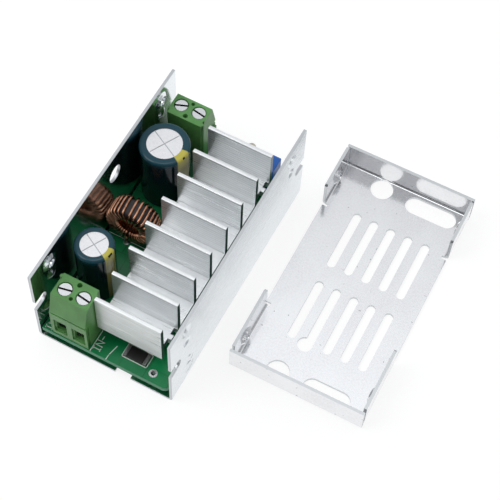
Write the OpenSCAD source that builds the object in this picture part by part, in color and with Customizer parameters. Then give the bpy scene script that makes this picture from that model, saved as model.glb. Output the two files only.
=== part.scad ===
// Boost converter module: a circuit board with two capacitors, a toroidal coil,
// two screw terminals and a comb heatsink in a folded sheet case.
// The folded cover lies beside the case, inside up.
// Millimetres. Origin: centre of the case underside. +X towards the cover,
// -Y the input end, +Z up.

/* [Case] */
// Outside width of the case
case_w = 38; // [34:0.5:46]
// Length of the case
case_l = 68; // [62:0.5:80]
// Height of the side walls
case_h = 29.5; // [28:0.5:40]
// Thickness of the sheet
sheet_t = 0.8; // [0.6:0.1:1.2]
// Outside radius of the folds
fold_r = 1.3; // [1.25:0.05:2]
// Distance of the cover screw holes from the case ends
screw_hole_in = 7.6; // [6:0.1:10]
// Depth of the cover screw holes below the wall top
screw_hole_down = 4; // [3.6:0.1:5]
// Diameter of the cover screw holes
screw_hole_d = 2.4; // [2:0.1:3]
// Depth of the upper louvres below the wall top
louvre_down = 9.6; // [8.8:0.1:11]
// Height of the lower pair of louvres above the underside
low_louvre_z = 5.1; // [4.6:0.1:5.4]
// Distance between the two louvres of that pair
low_louvre_pitch = 3.4; // [3.4:0.1:3.8]
// Distance of the single louvre of the left wall from the case end
end_louvre_in = 4; // [3.4:0.1:4.2]
// Height of that single louvre above the underside
end_louvre_z = 9.3; // [8.6:0.1:10]
// Diameter of the dome of a louvre
louvre_l = 3.4; // [3:0.1:3.4]
// Rise of that dome over the wall's inner face
louvre_rise = 0.65; // [0.4:0.05:0.8]
// Width of the slit of a louvre
louvre_slit = 0.4; // [0.3:0.05:0.6]
// Width of the slots open at the wall ends
side_slot_w = 3.6; // [3:0.1:4.4]
// Height of the side slots above the underside
side_slot_z = 15.2; // [14.4:0.1:15.6]
// Depth of the side slots
side_slot_l = 4.5; // [4:0.1:5.4]
// Diameter of the hole in the left wall
wall_hole_d = 5; // [3:0.1:6]
// Width of the notch in the bottom front edge
foot_slot_w = 4.3; // [3:0.1:5]
// Depth of the notch in the bottom front edge
foot_slot_l = 6; // [4:0.1:8]
// Distance of that notch from the middle
foot_slot_x = 5; // [0:0.1:8]

/* [Cover] */
// Gap between the cover and the case walls on each side
cover_gap = 0.15; // [0.1:0.05:0.4]
// Height of the cover end flanges
flange_h = 8.5; // [6:0.1:10]
// Height of the cover side tabs
tab_h = 9; // [7:0.1:10]
// Length of the near side tabs at the plate
tab_near_l = 17.6; // [14:0.1:22]
// Length of the far side tabs at the plate
tab_far_l = 13.2; // [12:0.1:20]
// Width of the cooling slots
vent_w = 2.3; // [1.5:0.1:3]
// Spacing of the cooling slots
vent_pitch = 4.87; // [4:0.01:5.4]
// Length of the cooling slots
vent_l = 17.8; // [10:0.1:19]
// Diameter of the two round cover holes
cover_hole_d = 6.1; // [5:0.1:6.4]
// Width of the long cover holes over the terminals
cover_slot_w = 5.1; // [4.5:0.1:5.4]
// Distance of the lying cover from the case
cover_apart = 6.9; // [4:0.1:20]
// Shift of the lying cover away from the input end
cover_shift = 15.17; // [0:0.01:20]
// Turn of the lying cover in degrees
cover_turn = 0.9; // [0:0.1:3]

/* [Board] */
// Thickness of the circuit board
board_t = 1.6; // [1.2:0.1:2]
// Height of the board above the case bottom
standoff_h = 2; // [1.7:0.1:3]
// Diameter of the spacers at the heatsink screws
spacer_d = 4.6; // [4.2:0.1:4.8]
// Gap between the board and the walls
board_gap = 0.4; // [0.3:0.05:0.8]

/* [Heatsink] */
// Width of the heatsink across the case
sink_w = 18; // [16:0.1:19]
// Number of fins
fins = 8; // [6:1:9]
// Thickness of a fin
fin_t = 1.2; // [0.9:0.1:1.6]
// Height of the fins above their base
fin_h = 11.8; // [8:0.1:13]
// Thickness of the heatsink base
sink_base_t = 2.4; // [2:0.1:3]
// Clear length at the ends of the heatsink together
sink_short = 11.6; // [10:0.1:14]

/* [Capacitors] */
// Diameter of the input capacitor with its sleeve
in_cap_d = 10; // [8:0.1:10.5]
// Height of the input capacitor
in_cap_h = 20.2; // [14:0.1:21]
// Diameter of the output capacitor with its sleeve
out_cap_d = 13; // [11:0.1:13.2]
// Height of the output capacitor
out_cap_h = 20.6; // [14:0.1:21]
// Share of the capacitor's radius that its sleeve leaves bare on top
cap_bare = 0.7; // [0.5:0.01:0.8]
// Turn of the scored cross on the capacitor tops in degrees
cap_score_turn = 62; // [0:1:90]

/* [Inductor] */
// Outside diameter of the core
core_od = 12.1; // [11.7:0.1:12.3]
// Inside diameter of the core
core_id = 7.2; // [7.2:0.1:7.6]
// Thickness of the core
core_t = 5.1; // [4:0.1:6]
// Diameter of the wire
wire_d = 0.65; // [0.5:0.05:0.65]
// Number of turns
turns = 27.5; // [20.5:1:27.5]

/* [Terminals] */
// Distance between the two poles
pole_pitch = 5.08; // [5:0.01:5.2]
// Depth of a terminal block
term_d = 7.8; // [7.7:0.1:8.4]
// Height of a terminal block
term_h = 18; // [17.8:0.1:19]
// Diameter of the clamp screw thread
clamp_d = 2.4; // [2:0.1:2.5]
// Pitch of the clamp screw thread
clamp_pitch = 0.45; // [0.4:0.01:0.45]
// Turns of a clamp screw from open to closed
clamp_turns = 11; // [6:1:11]
// Diameter of the clamp screw head
clamp_head_d = 3.4; // [3.2:0.1:3.8]
// Width of the slot in a clamp screw
clamp_slot_w = 0.5; // [0.4:0.05:0.9]
// Width of a wire opening
wire_hole_w = 2.7; // [2:0.1:2.8]
// Height of a wire opening
wire_hole_h = 5; // [4:0.1:5.2]
// Gap between the moving pieces and the housing
run_gap = 0.2; // [0.15:0.01:0.25]

/* [Trimmer] */
// Length of the trimmer body
trim_l = 9.5; // [8:0.1:10]
// Width of the trimmer body
trim_w = 4.8; // [4:0.1:5]
// Height of the trimmer body
trim_h = 10.4; // [8:0.1:11]
// Diameter of the trimmer screw
trim_screw_d = 2.2; // [1.8:0.1:2.4]

/* [Small parts] */
// Height of the power packages
power_h = 4.5; // [4:0.1:4.8]
// Thickness of the thermal pads
pad_t = 0.7; // [0.5:0.1:1.5]
// Length of the current sensing resistor
shunt_l = 6.4; // [5:0.1:7]
// Width of the current sensing resistor
shunt_w = 3.2; // [2.5:0.1:3.4]
// Height of the current sensing resistor
shunt_h = 0.8; // [0.5:0.1:1]

/* [Hidden] */
$fn = 48;
e = 0.01;
tab_lap = 0.2;
side_in = case_w / 2 - sheet_t;
end_y = case_l / 2;
screw_y = end_y - screw_hole_in;
screw_z = case_h - screw_hole_down;
louvre_z = case_h - louvre_down;
board_w = 2 * (side_in - board_gap);
board_l = case_l - 0.6;
board_y = -0.1;
board_z0 = sheet_t + standoff_h;
board_z = board_z0 + board_t;

// places of the pieces that stand along the left wall
term_w = 2 * pole_pitch;
coil_r = core_od / 2 + wire_d;
in_cap_x = -side_in + in_cap_d / 2 + 1.4;
out_cap_x = -side_in + out_cap_d / 2 + 0.5;
coil_x = -side_in + coil_r + 0.15;
in_term_x = -side_in + 3.4 + term_w / 2;
out_term_x = -side_in + 1.5 + term_w / 2;
in_term_y = -end_y + 0.4;
out_term_y = end_y;
in_cap_y = in_term_y + term_d + in_cap_d / 2 + 4.1;
out_cap_y = out_term_y - term_d - out_cap_d / 2 - 3.6;
coil_y = (in_cap_y + in_cap_d / 2 + out_cap_y - out_cap_d / 2) / 2 + 1.075;
coil_z = board_z + coil_r + 0.4;

// heatsink, clear of the widest of those pieces
column_w = max(out_cap_d + 0.5, 2 * coil_r + 0.15, in_cap_d + 1.4, 3.4 + term_w);
sink_x0 = -side_in + column_w + 0.26;
sink_x1 = sink_x0 + sink_w;
sink_y0 = -end_y + 4.75;
sink_l = case_l - sink_short;
sink_y1 = sink_y0 + sink_l;
sink_z = board_z + power_h + pad_t;
fin_pitch = (sink_l - fin_t) / (fins - 1);
sink_screw_x = sink_x1 - 4.6;
sink_screw_y = [sink_y0 + fin_t + 2.9, sink_y1 - fin_t - 2.9];
sink_screw_r = 1.45;

// terminal block, measured from its front face and the board
pole_y = 4.2;
cavity_w = 3.9;
cavity_d = 5.4;
cavity_z0 = 0.9;
head_z = term_h - 1.8;
cavity_z1 = head_z - 1.4;
cage_rise = clamp_turns * clamp_pitch;
cage_z0 = cavity_z0 + 0.15;
cage_top_z = cavity_z1 - 0.5 - cage_rise - 1.2;
bar_z = cage_top_z - 1.1;
pin_y = pole_y + cavity_d / 2 + 0.2;
hook_y = term_d - 1.1;

// trimmer, behind the heatsink
trim_x1 = sink_x1;
trim_y1 = sink_y1 + 0.35 + trim_w;
trim_z = board_z + 0.3;
trim_screw_x = trim_x1 - trim_l + 1.6;
trim_screw_y = trim_y1 - 1.5;

shunt_x = sink_x0 + 7.8 + shunt_l / 2;
shunt_y = sink_y0 - 1.65 + shunt_w / 2;
mosfet_y = sink_y0 + sink_l * 0.34;
diode_y = sink_y0 + sink_l * 0.68;
power_x = sink_x0 + sink_w / 2;
eyelet_r = 0.75;
eyelet_x = shunt_x + shunt_l / 2 + eyelet_r + 1.73;
eyelet_y = -end_y + 2.5;

cover_w = case_w - 2 * sheet_t - 2 * cover_gap;
cover_l = case_l - 0.2;
cover_x = case_w / 2 + cover_apart + cover_w / 2;
vent_u0 = -7.94;
vent_v = 2.4;

// wire leads that go through the board: [x, y]
in_lead = 2.5;
out_lead = 2.5;
coil_pitch = 12;
coil_start = -97;
coil_gap = 6.5;
coil_gap_at = 189.5;
core_mid = (core_od + core_id) / 4;
wind_gap = 0.08;
wind_a = (core_od - core_id) / 4 + wire_d / 2 + wind_gap;
wind_b = core_t / 2 + wire_d / 2 + wind_gap;
wind_span = coil_pitch * turns;
coil_end = coil_start + wind_span + coil_gap;
coil_lead_1 = [coil_x + core_mid * cos(coil_start), coil_y - wind_b];
coil_lead_2 = [coil_x + core_mid * cos(coil_end), coil_y + wind_b];
pole_pins = [
    [in_term_x - pole_pitch / 2, in_term_y + pin_y],
    [in_term_x + pole_pitch / 2, in_term_y + pin_y],
    [out_term_x - pole_pitch / 2, out_term_y - pin_y],
    [out_term_x + pole_pitch / 2, out_term_y - pin_y]];
round_pins = [
    [in_cap_x, in_cap_y - in_lead],
    [in_cap_x, in_cap_y + in_lead],
    [out_cap_x, out_cap_y - out_lead],
    [out_cap_x, out_cap_y + out_lead],
    [trim_screw_x + 0.6, trim_y1 - trim_w / 2],
    [trim_screw_x + 3.14, trim_y1 - trim_w / 2],
    [trim_screw_x + 5.68, trim_y1 - trim_w / 2],
    coil_lead_1,
    coil_lead_2];
all_pins = concat(pole_pins, round_pins);

// Shared shapes

module at_front() translate([in_term_x, in_term_y, board_z]) children();
module at_rear() translate([out_term_x, out_term_y, board_z]) rotate([0, 0, 180]) children();
module at_cover() translate([cover_x, cover_shift, 0]) rotate([0, 0, cover_turn]) children();

// both side walls: drawn for the right one, mirrored to the left one
module both_walls() {
    children();
    mirror([1, 0, 0]) children();
}

// local +Z goes from a wall's outer face inwards, local +X goes up
module on_wall(y, z) translate([case_w / 2, y, z]) rotate([0, -90, 0]) children();

// obround through a plate, from point a to point b
module obround(a, b, w, h) {
    d = b - a;
    translate([a[0], a[1], 0]) cylinder(d = w, h = h);
    translate([b[0], b[1], 0]) cylinder(d = w, h = h);
    translate([a[0], a[1], 0])
        rotate([0, 0, atan2(d[1], d[0])])
            translate([0, -w / 2, 0]) cube([norm(d), w, h]);
}

// sheet folded up at both ends: profile in XZ, length along Y
module folded_u(w, l, h) {
    r = fold_r;
    rotate([90, 0, 0])
        linear_extrude(height = l, center = true)
            difference() {
                union() {
                    translate([-w / 2 + r, 0]) square([w - 2 * r, h]);
                    translate([-w / 2, r]) square([w, h - r]);
                    translate([-w / 2 + r, r]) circle(r);
                    translate([w / 2 - r, r]) circle(r);
                }
                translate([-w / 2 + r, sheet_t]) square([w - 2 * r, h]);
                translate([-w / 2 + sheet_t, r]) square([w - 2 * sheet_t, h]);
                translate([-w / 2 + r, r]) circle(r - sheet_t);
                translate([w / 2 - r, r]) circle(r - sheet_t);
            }
}

// pressed-in seat of a flush screw: raised part and opening
module seat_wall() {
    translate([0, 0, sheet_t - e])
        cylinder(r1 = screw_hole_d / 2 + 1.4, r2 = screw_hole_d / 2 + 0.5, h = 0.7);
}
module seat_opening() {
    translate([0, 0, -1]) cylinder(r = screw_hole_d / 2, h = 4);
    translate([0, 0, -e]) cylinder(r1 = screw_hole_d / 2 + 0.9, r2 = screw_hole_d / 2, h = 0.7);
}

// louvre pressed inwards: shallow dome with a slit along its middle
function ball_r(rise) = (pow(louvre_l / 2, 2) + pow(rise, 2)) / (2 * rise);
module louvre_ball(rise, r) translate([0, 0, sheet_t + rise - ball_r(rise)]) sphere(r);
module louvre_dome(rise) {
    intersection() {
        louvre_ball(rise, ball_r(rise));
        translate([-4, -4, sheet_t - e]) cube([8, 8, 4]);
    }
}
module louvre_opening(rise) {
    intersection() {
        louvre_ball(rise, ball_r(rise) - 0.7 * sheet_t);
        translate([-4, -4, -e]) cube([8, 8, 4]);
    }
    translate([-louvre_slit / 2, -louvre_l / 2 + 0.3, -1]) cube([louvre_slit, louvre_l - 0.6, 5]);
}

// high ones under the screw seats, one at the left wall's end
module high_louvre_places() {
    both_walls() for (s = [-1, 1]) on_wall(s * screw_y, louvre_z) children();
    mirror([1, 0, 0]) on_wall(-end_y + end_louvre_in, end_louvre_z) children();
}

// low pair beside the board, shallow enough to clear it
low_rise = min(louvre_rise, board_gap - 0.1);
module low_louvre_places() {
    both_walls()
        for (k = [0, 1]) on_wall(-screw_y + 0.7, low_louvre_z + k * low_louvre_pitch) children();
}

module screw_hole_places() {
    both_walls() for (s = [-1, 1]) on_wall(s * screw_y, screw_z) children();
}

module case_base() {
    color([0.86, 0.87, 0.89])
    difference() {
        union() {
            folded_u(case_w, case_l, case_h);
            screw_hole_places() seat_wall();
            high_louvre_places() louvre_dome(louvre_rise);
            low_louvre_places() louvre_dome(low_rise);
        }
        screw_hole_places() seat_opening();
        high_louvre_places() louvre_opening(louvre_rise);
        low_louvre_places() louvre_opening(low_rise);
        both_walls()
            for (s = [-1, 1])
                on_wall(0, side_slot_z)
                    translate([0, 0, -1])
                        obround([0, s * (end_y - side_slot_l + side_slot_w / 2)],
                            [0, s * (end_y + 4)], side_slot_w, sheet_t + 2);
        mirror([1, 0, 0])
            on_wall(3.7, 22.7) translate([0, 0, -1]) cylinder(d = wall_hole_d, h = sheet_t + 2);
        translate([0, 0, -1])
            obround([foot_slot_x, -end_y + foot_slot_l - foot_slot_w / 2],
                [foot_slot_x, -end_y - 4], foot_slot_w, sheet_t + 2);
        for (y = sink_screw_y) translate([sink_screw_x, y, 0]) screw_cut();
    }
}

// side tab of the cover with its fold: root along +Y from 0, tab on the +X side
module cover_tab(l) {
    r = fold_r;
    wall_x = cover_w / 2;
    difference() {
        union() {
            rotate([-90, 0, 0])
                linear_extrude(height = l)
                    intersection() {
                        // the section runs on into the plate, so that both are one piece at any width
                        difference() {
                            union() {
                                translate([wall_x - r, -r]) circle(r);
                                translate([wall_x - r - tab_lap, -r]) square([tab_lap, r]);
                            }
                            translate([wall_x - r, -r]) circle(r - sheet_t);
                            translate([wall_x - 2 * r - tab_lap, -2 * r])
                                square([r + tab_lap, 2 * r - sheet_t]);
                        }
                        translate([wall_x - r - tab_lap, -r]) square([r + tab_lap, r]);
                    }
            translate([wall_x - sheet_t, 0, r - e])
                rotate([90, 0, 90])
                    linear_extrude(height = sheet_t)
                        polygon([[0, 0], [l, 0], [l, tab_h - r - 0.5], [l - 0.5, tab_h - r], [0, tab_h - r]]);
        }
        // nothing of the tab stands over its own end
        translate([wall_x - 3, l, -1]) cube([6, 3, tab_h + 2]);
    }
}

module tab_seat_places() {
    for (s = [-1, 1])
        both_cover_sides()
            translate([cover_w / 2, s * (cover_l / 2 - screw_hole_in + 0.1), screw_hole_down])
                rotate([0, -90, 0]) children();
}

module both_cover_sides() {
    children();
    mirror([1, 0, 0]) children();
}

module cover_openings() {
    for (i = [0:4]) {
        u = vent_u0 + vent_pitch * i;
        for (s = [-1, 1])
            obround([u, s * (vent_v + vent_w / 2)], [u, s * (vent_v + vent_l - vent_w / 2)], vent_w, 4);
    }
    translate([vent_u0 + vent_pitch - 0.75, -vent_v - vent_l, 0]) cylinder(d = 4, h = 4);
    // round holes close to the flanges, long holes short of the folds
    hole_v = cover_l / 2 - sheet_t - cover_hole_d / 2 - 0.1;
    slot_v = cover_l / 2 - fold_r - cover_slot_w / 2 - 0.1;
    slot_u = cover_w / 2 - fold_r - cover_slot_w / 2;
    translate([-5.8, hole_v, 0]) cylinder(d = cover_hole_d, h = 4);
    translate([-6.6, -hole_v, 0]) cylinder(d = cover_hole_d, h = 4);
    obround([slot_u - 10.25, slot_v - 0.5], [slot_u - 1.15, slot_v - 0.5], cover_slot_w, 4);
    obround([slot_u - 11.25, -slot_v], [slot_u - 3.65, -slot_v], cover_slot_w, 4);
}

module top_cover() {
    inset = 0.9;
    near_v = -cover_l / 2 + fold_r + 0.25;
    far_v = cover_l / 2 - fold_r - 0.25;
    color([0.84, 0.85, 0.87])
    at_cover()
    difference() {
        union() {
            difference() {
                rotate([0, 0, 90]) folded_u(cover_l, cover_w, flange_h);
                both_cover_sides() {
                    translate([cover_w / 2 - fold_r - tab_lap / 2, near_v, -1])
                        cube([4, tab_near_l, 4]);
                    translate([cover_w / 2 - fold_r - tab_lap / 2, far_v - tab_far_l, -1])
                        cube([4, tab_far_l, 4]);
                    translate([cover_w / 2 - 0.3, near_v + tab_near_l - e, -1])
                        cube([2, far_v - near_v - tab_near_l - tab_far_l + 2 * e, 4]);
                }
            }
            both_cover_sides() {
                translate([0, near_v, 0]) cover_tab(tab_near_l);
                translate([0, far_v, 0]) mirror([0, 1, 0]) cover_tab(tab_far_l);
            }
            tab_seat_places() seat_wall();
        }
        tab_seat_places() seat_opening();
        translate([0, 0, -1]) cover_openings();
        both_cover_sides() {
            translate([cover_w / 2 - fold_r - 0.4, near_v + tab_near_l, -1]) cube([4, inset, 4]);
            translate([cover_w / 2 - fold_r - 0.4, far_v - tab_far_l - inset, -1]) cube([4, inset, 4]);
            translate([cover_w / 2 - fold_r - 0.4, near_v - 0.25, -1]) cube([4, 0.26, 4]);
            translate([cover_w / 2 - fold_r - 0.4, far_v - 0.01, -1]) cube([4, 0.26, 4]);
        }
    }
}

module screw_cut() {
    translate([0, 0, -1]) cylinder(r = sink_screw_r + 0.15, h = 40);
    translate([0, 0, -e]) cylinder(r1 = sink_screw_r + 1.4, r2 = sink_screw_r + 0.1, h = 1.3);
}

module circuit_board() {
    corner = 2;
    color([0.05, 0.36, 0.21])
    difference() {
        union() {
            translate([-board_w / 2, board_y - board_l / 2 + corner, board_z0])
                cube([board_w, board_l - corner, board_t]);
            translate([-board_w / 2, board_y - board_l / 2, board_z0])
                cube([board_w - corner, board_l, board_t]);
            translate([board_w / 2 - corner, board_y - board_l / 2 + corner, board_z0])
                cylinder(r = corner, h = board_t);
        }
        for (p = all_pins) translate([p[0], p[1], board_z0 - 1]) cylinder(r = 0.6, h = board_t + 2);
        for (y = sink_screw_y)
            translate([sink_screw_x, y, board_z0 - 1]) cylinder(r = sink_screw_r + 0.15, h = board_t + 2);
        translate([eyelet_x, eyelet_y, board_z0 - 1]) cylinder(r = eyelet_r, h = board_t + 2);
    }
}

// round spacers under the board and between the board and the heatsink
module spacers() {
    color([0.9, 0.9, 0.86])
    difference() {
        for (y = sink_screw_y) {
            translate([sink_screw_x, y, sheet_t]) cylinder(d = spacer_d, h = standoff_h);
            translate([sink_screw_x, y, board_z]) cylinder(d = spacer_d, h = sink_z - board_z);
        }
        for (y = sink_screw_y) translate([sink_screw_x, y, 0]) screw_cut();
    }
}

// flush screws from below: case, spacers, board and heatsink in one pull
module case_screws() {
    color([0.72, 0.73, 0.75])
    for (y = sink_screw_y)
        translate([sink_screw_x, y, 0.02])
            difference() {
                union() {
                    cylinder(r = sink_screw_r, h = sink_z + sink_base_t - 0.6);
                    cylinder(r1 = sink_screw_r + 1.3, r2 = sink_screw_r, h = 1.3);
                }
                for (a = [0, 90])
                    rotate([0, 0, a]) translate([-1.5, -0.25, -e]) cube([3, 0.5, 0.7]);
            }
}

// comb: the profile of base and fins, extended across the case
module heatsink_profile() {
    square([sink_l, sink_base_t]);
    for (i = [0:fins - 1])
        translate([i * fin_pitch, 0]) {
            square([fin_t, sink_base_t + fin_h - 0.3]);
            translate([0.3, 0]) square([fin_t - 0.6, sink_base_t + fin_h]);
            translate([0.3, sink_base_t + fin_h - 0.3]) circle(0.3);
            translate([fin_t - 0.3, sink_base_t + fin_h - 0.3]) circle(0.3);
        }
}

module heatsink() {
    color([0.78, 0.79, 0.81])
    difference() {
        translate([sink_x0, sink_y0, sink_z])
            rotate([90, 0, 90])
                linear_extrude(height = sink_w) heatsink_profile();
        // relief notches at the right edge in the first and the last bay
        for (i = [0, fins - 2])
            translate([sink_x1 - 1, sink_y0 + i * fin_pitch + fin_t, sink_z - 1]) {
                translate([0, 0.1, 0]) cube([3, 3.3, sink_base_t + 1.5]);
                translate([0, 4.7, 0]) cube([3, fin_pitch - fin_t - 4.8, sink_base_t + 1.5]);
            }
        for (y = sink_screw_y)
            translate([sink_screw_x, y, sink_z - e]) cylinder(r = sink_screw_r + 0.05, h = sink_base_t - 0.4);
    }
}

module thermal_pads() {
    color([0.6, 0.62, 0.66])
    for (y = [mosfet_y, diode_y])
        translate([power_x - 5.5, y - 5, board_z + power_h]) cube([11, 10, pad_t]);
}

module power_body(y) {
    translate([power_x - 5, y - 4.5, board_z + 0.6]) cube([10, 9, power_h - 0.6]);
}

module mosfet() color([0.08, 0.08, 0.09]) power_body(mosfet_y);
module rectifier_diode() color([0.08, 0.08, 0.09]) power_body(diode_y);

// soldered metal tabs and legs of both power packages
module power_tabs() {
    color([0.76, 0.76, 0.75])
    for (y = [mosfet_y, diode_y]) {
        translate([power_x - 4.5, y - 3, board_z]) cube([9, tab_reach + 3, 0.6]);
        for (k = [-1, 1])
            translate([power_x + k * 2.54 - 0.4, y - leg_reach, board_z]) {
                cube([0.8, 2.2, 0.5]);
                translate([0, 2.2 - 0.5, 0]) cube([0.8, 0.5, 2.6]);
                translate([0, 2.2 - 0.5, 2.1]) cube([0.8, 2.8, 0.5]);
            }
    }
}

chip_x = sink_x0 + 4;
chip_y = sink_y0 + 5;

module controller_chip() {
    color([0.09, 0.09, 0.1])
    translate([chip_x - 2.45, chip_y - 1.95, board_z + 0.15]) cube([4.9, 3.9, 1.5]);
}

module controller_leads() {
    color([0.78, 0.78, 0.77])
    for (i = [-1.5:1:1.5])
        for (s = [0, 1])
            translate([chip_x + 1.27 * i - 0.2, chip_y, board_z])
                mirror([0, s, 0])
                    translate([0, 1.95, 0]) {
                        cube([0.4, 0.4, 1]);
                        cube([0.4, 1.1, 0.2]);
                    }
}

// small parts under the heatsink, in rows before, between and behind the power packages
leg_reach = 9;
tab_reach = 6;
front_row = mosfet_y - leg_reach + 1.5;
mid_row = (mosfet_y + tab_reach + diode_y - leg_reach) / 2;
rear_row = diode_y + tab_reach + 3.6;
cap_spots = [[3, front_row], [3, mid_row], [14.5, mid_row], [6, rear_row]];
res_spots = [[14.5, front_row], [7, mid_row], [10.5, mid_row], [3, rear_row], [3, rear_row + 3]];
chip_w = 1.24;

module chip_body(p, h) {
    translate([sink_x0 + p[0] - 0.75, p[1] - chip_w / 2, board_z]) cube([1.5, chip_w, h]);
}

module chip_pair(p, h) {
    for (s = [-1, 1])
        translate([sink_x0 + p[0] + s * 0.95 - 0.2, p[1] - chip_w / 2, board_z]) cube([0.4, chip_w, h]);
}

module chip_capacitors() color([0.55, 0.44, 0.32]) for (p = cap_spots) chip_body(p, 1.1);
module chip_resistors() color([0.09, 0.09, 0.09]) for (p = res_spots) chip_body(p, 0.6);
module chip_ends() {
    color([0.8, 0.8, 0.79]) {
        for (p = cap_spots) chip_pair(p, 1.1);
        for (p = res_spots) chip_pair(p, 0.6);
    }
}

// current sensing resistor at the front edge
module shunt_body() {
    color([0.1, 0.1, 0.1])
    translate([shunt_x - shunt_l / 2 + 0.9, shunt_y - shunt_w / 2, board_z])
        cube([shunt_l - 1.8, shunt_w, shunt_h]);
}

module shunt_ends() {
    color([0.82, 0.82, 0.81])
    for (s = [-1, 1])
        translate([shunt_x + s * (shunt_l / 2 - 0.45) - 0.45, shunt_y - shunt_w / 2, board_z])
            cube([0.9, shunt_w, shunt_h]);
}

// capacitors: can, shrunk sleeve, rubber seal, leads
module cap_can(d, h) {
    r = d / 2 - 0.2;
    top = 0.5;
    translate([0, 0, 0.8])
        difference() {
            rotate_extrude()
                union() {
                    square([r - top, h - 0.95]);
                    square([r, h - 0.95 - top]);
                    translate([r - top, h - 0.95 - top]) circle(top);
                }
            for (a = [0, 90])
                rotate([0, 0, a + cap_score_turn])
                    translate([-r * 0.62, -0.12, h - 0.95 - 0.12]) cube([r * 1.24, 0.24, 1]);
        }
}

module cap_sleeve(d, h) {
    r = d / 2;
    lip = (1 - cap_bare) * r;
    rotate_extrude()
        difference() {
            union() {
                translate([0, 0.5]) square([r - 0.8, h - 0.5]);
                translate([0, 0.5]) square([r, h - 0.5 - 0.8]);
                translate([r - 0.8, h - 0.8]) circle(0.8);
            }
            translate([0, 0]) square([r - 0.18, h - 0.15 - 0.52]);
            translate([0, 0]) square([r - 0.18 - 0.52, h - 0.13]);
            translate([r - 0.18 - 0.52, h - 0.13 - 0.52]) circle(0.52);
            square([r - lip, h + 1]);
        }
}

module cap_seal(d) cylinder(r = d / 2 - 0.9, h = 0.8);
module cap_leads(gap) {
    for (s = [-1, 1])
        translate([0, s * gap, -board_t - 1]) cylinder(r = 0.35, h = board_t + 1);
}

module at_in_cap() translate([in_cap_x, in_cap_y, board_z]) children();
module at_out_cap() translate([out_cap_x, out_cap_y, board_z]) children();

module input_cap_can() color([0.86, 0.86, 0.88]) at_in_cap() cap_can(in_cap_d, in_cap_h);
module input_cap_sleeve() color([0.05, 0.09, 0.11]) at_in_cap() cap_sleeve(in_cap_d, in_cap_h);
module input_cap_seal() color([0.1, 0.1, 0.1]) at_in_cap() cap_seal(in_cap_d);
module input_cap_leads() color([0.8, 0.8, 0.8]) at_in_cap() cap_leads(in_lead);
module output_cap_can() color([0.86, 0.86, 0.88]) at_out_cap() cap_can(out_cap_d, out_cap_h);
module output_cap_sleeve() color([0.05, 0.09, 0.11]) at_out_cap() cap_sleeve(out_cap_d, out_cap_h);
module output_cap_seal() color([0.1, 0.1, 0.1]) at_out_cap() cap_seal(out_cap_d);
module output_cap_leads() color([0.8, 0.8, 0.8]) at_out_cap() cap_leads(out_lead);

// ring core standing on edge, axis along Y
module inductor_core() {
    round_r = 1;
    w = (core_od - core_id) / 2;
    color([0.28, 0.26, 0.27])
    translate([coil_x, coil_y, coil_z])
        rotate([90, 0, 0])
            rotate_extrude()
                translate([core_id / 2, -core_t / 2])
                    union() {
                        translate([round_r, 0]) square([w - 2 * round_r, core_t]);
                        translate([0, round_r]) square([w, core_t - 2 * round_r]);
                        for (x = [round_r, w - round_r])
                            for (y = [round_r, core_t - round_r])
                                translate([x, y]) circle(round_r);
                    }
}

// one continuous wire: down lead, turns round the ring with one wider gap, down lead
wire_steps = 14;
wire_n = floor(wire_steps * turns + 0.5);
function smooth(t) = let (s = min(1, max(0, t))) s * s * (3 - 2 * s);
function wind_angle(i) = let (a = wind_span * i / wire_n)
    coil_start + a + coil_gap * smooth((a - coil_gap_at) / 18 + 0.5);
function around(i) = -90 + 360 * turns * i / wire_n;
function bulge(p) = pow(pow(abs(cos(p)), 5) + pow(abs(sin(p)), 5), -0.2);
function wind_point(i) = let (
    q = wind_angle(i),
    p = around(i),
    r = core_mid + wind_a * bulge(p) * cos(p))
    [coil_x + r * cos(q), coil_y + wind_b * bulge(p) * sin(p), coil_z + r * sin(q)];
lead_low = board_z0 - 0.7;
lead_in = [for (k = [0:3]) [coil_lead_1[0], coil_lead_1[1],
    lead_low + (coil_z + core_mid * sin(coil_start) - 0.6 - lead_low) * k / 3]];
lead_out = [for (k = [3:-1:0]) [coil_lead_2[0], coil_lead_2[1],
    lead_low + (coil_z + core_mid * sin(coil_end) - 0.6 - lead_low) * k / 3]];
wire_path = concat(lead_in, [for (i = [0:wire_n]) wind_point(i)], lead_out);
wire_last = len(wire_path) - 1;
function unit(v) = v / norm(v);
function wire_dir(i) = unit(wire_path[min(wire_last, i + 1)] - wire_path[max(0, i - 1)]);
function wire_out(i) = let (
    p = wire_path[i],
    q = atan2(p[2] - coil_z, p[0] - coil_x),
    c = [coil_x + core_mid * cos(q), coil_y, coil_z + core_mid * sin(q)],
    flat = (i < 4 || i > wire_last - 4) ? [0, p[1] - coil_y, 0] : p - c,
    t = wire_dir(i))
    unit(flat - t * (flat * t));
wire_sides = 6;

module inductor_winding() {
    color([0.72, 0.43, 0.25])
    polyhedron(
        points = [for (i = [0:wire_last])
            let (n = wire_out(i), b = cross(wire_dir(i), n))
            for (k = [0:wire_sides - 1])
                wire_path[i] + wire_d / 2 * (cos(60 * k) * n + sin(60 * k) * b)],
        faces = concat(
            [for (i = [0:wire_last - 1])
                for (k = [0:wire_sides - 1])
                    let (a = i * wire_sides, j = (k + 1) % wire_sides)
                    [a + k, a + wire_sides + k, a + wire_sides + j]],
            [for (i = [0:wire_last - 1])
                for (k = [0:wire_sides - 1])
                    let (a = i * wire_sides, j = (k + 1) % wire_sides)
                    [a + k, a + wire_sides + j, a + j]],
            [[for (k = [0:wire_sides - 1]) k]],
            [[for (k = [wire_sides - 1:-1:0]) wire_last * wire_sides + k]]));
}

// terminal block: front face at y = 0, standing on z = 0, poles side by side
module poles() for (k = [-1, 1]) translate([k * pole_pitch / 2, pole_y, 0]) children();

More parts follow.
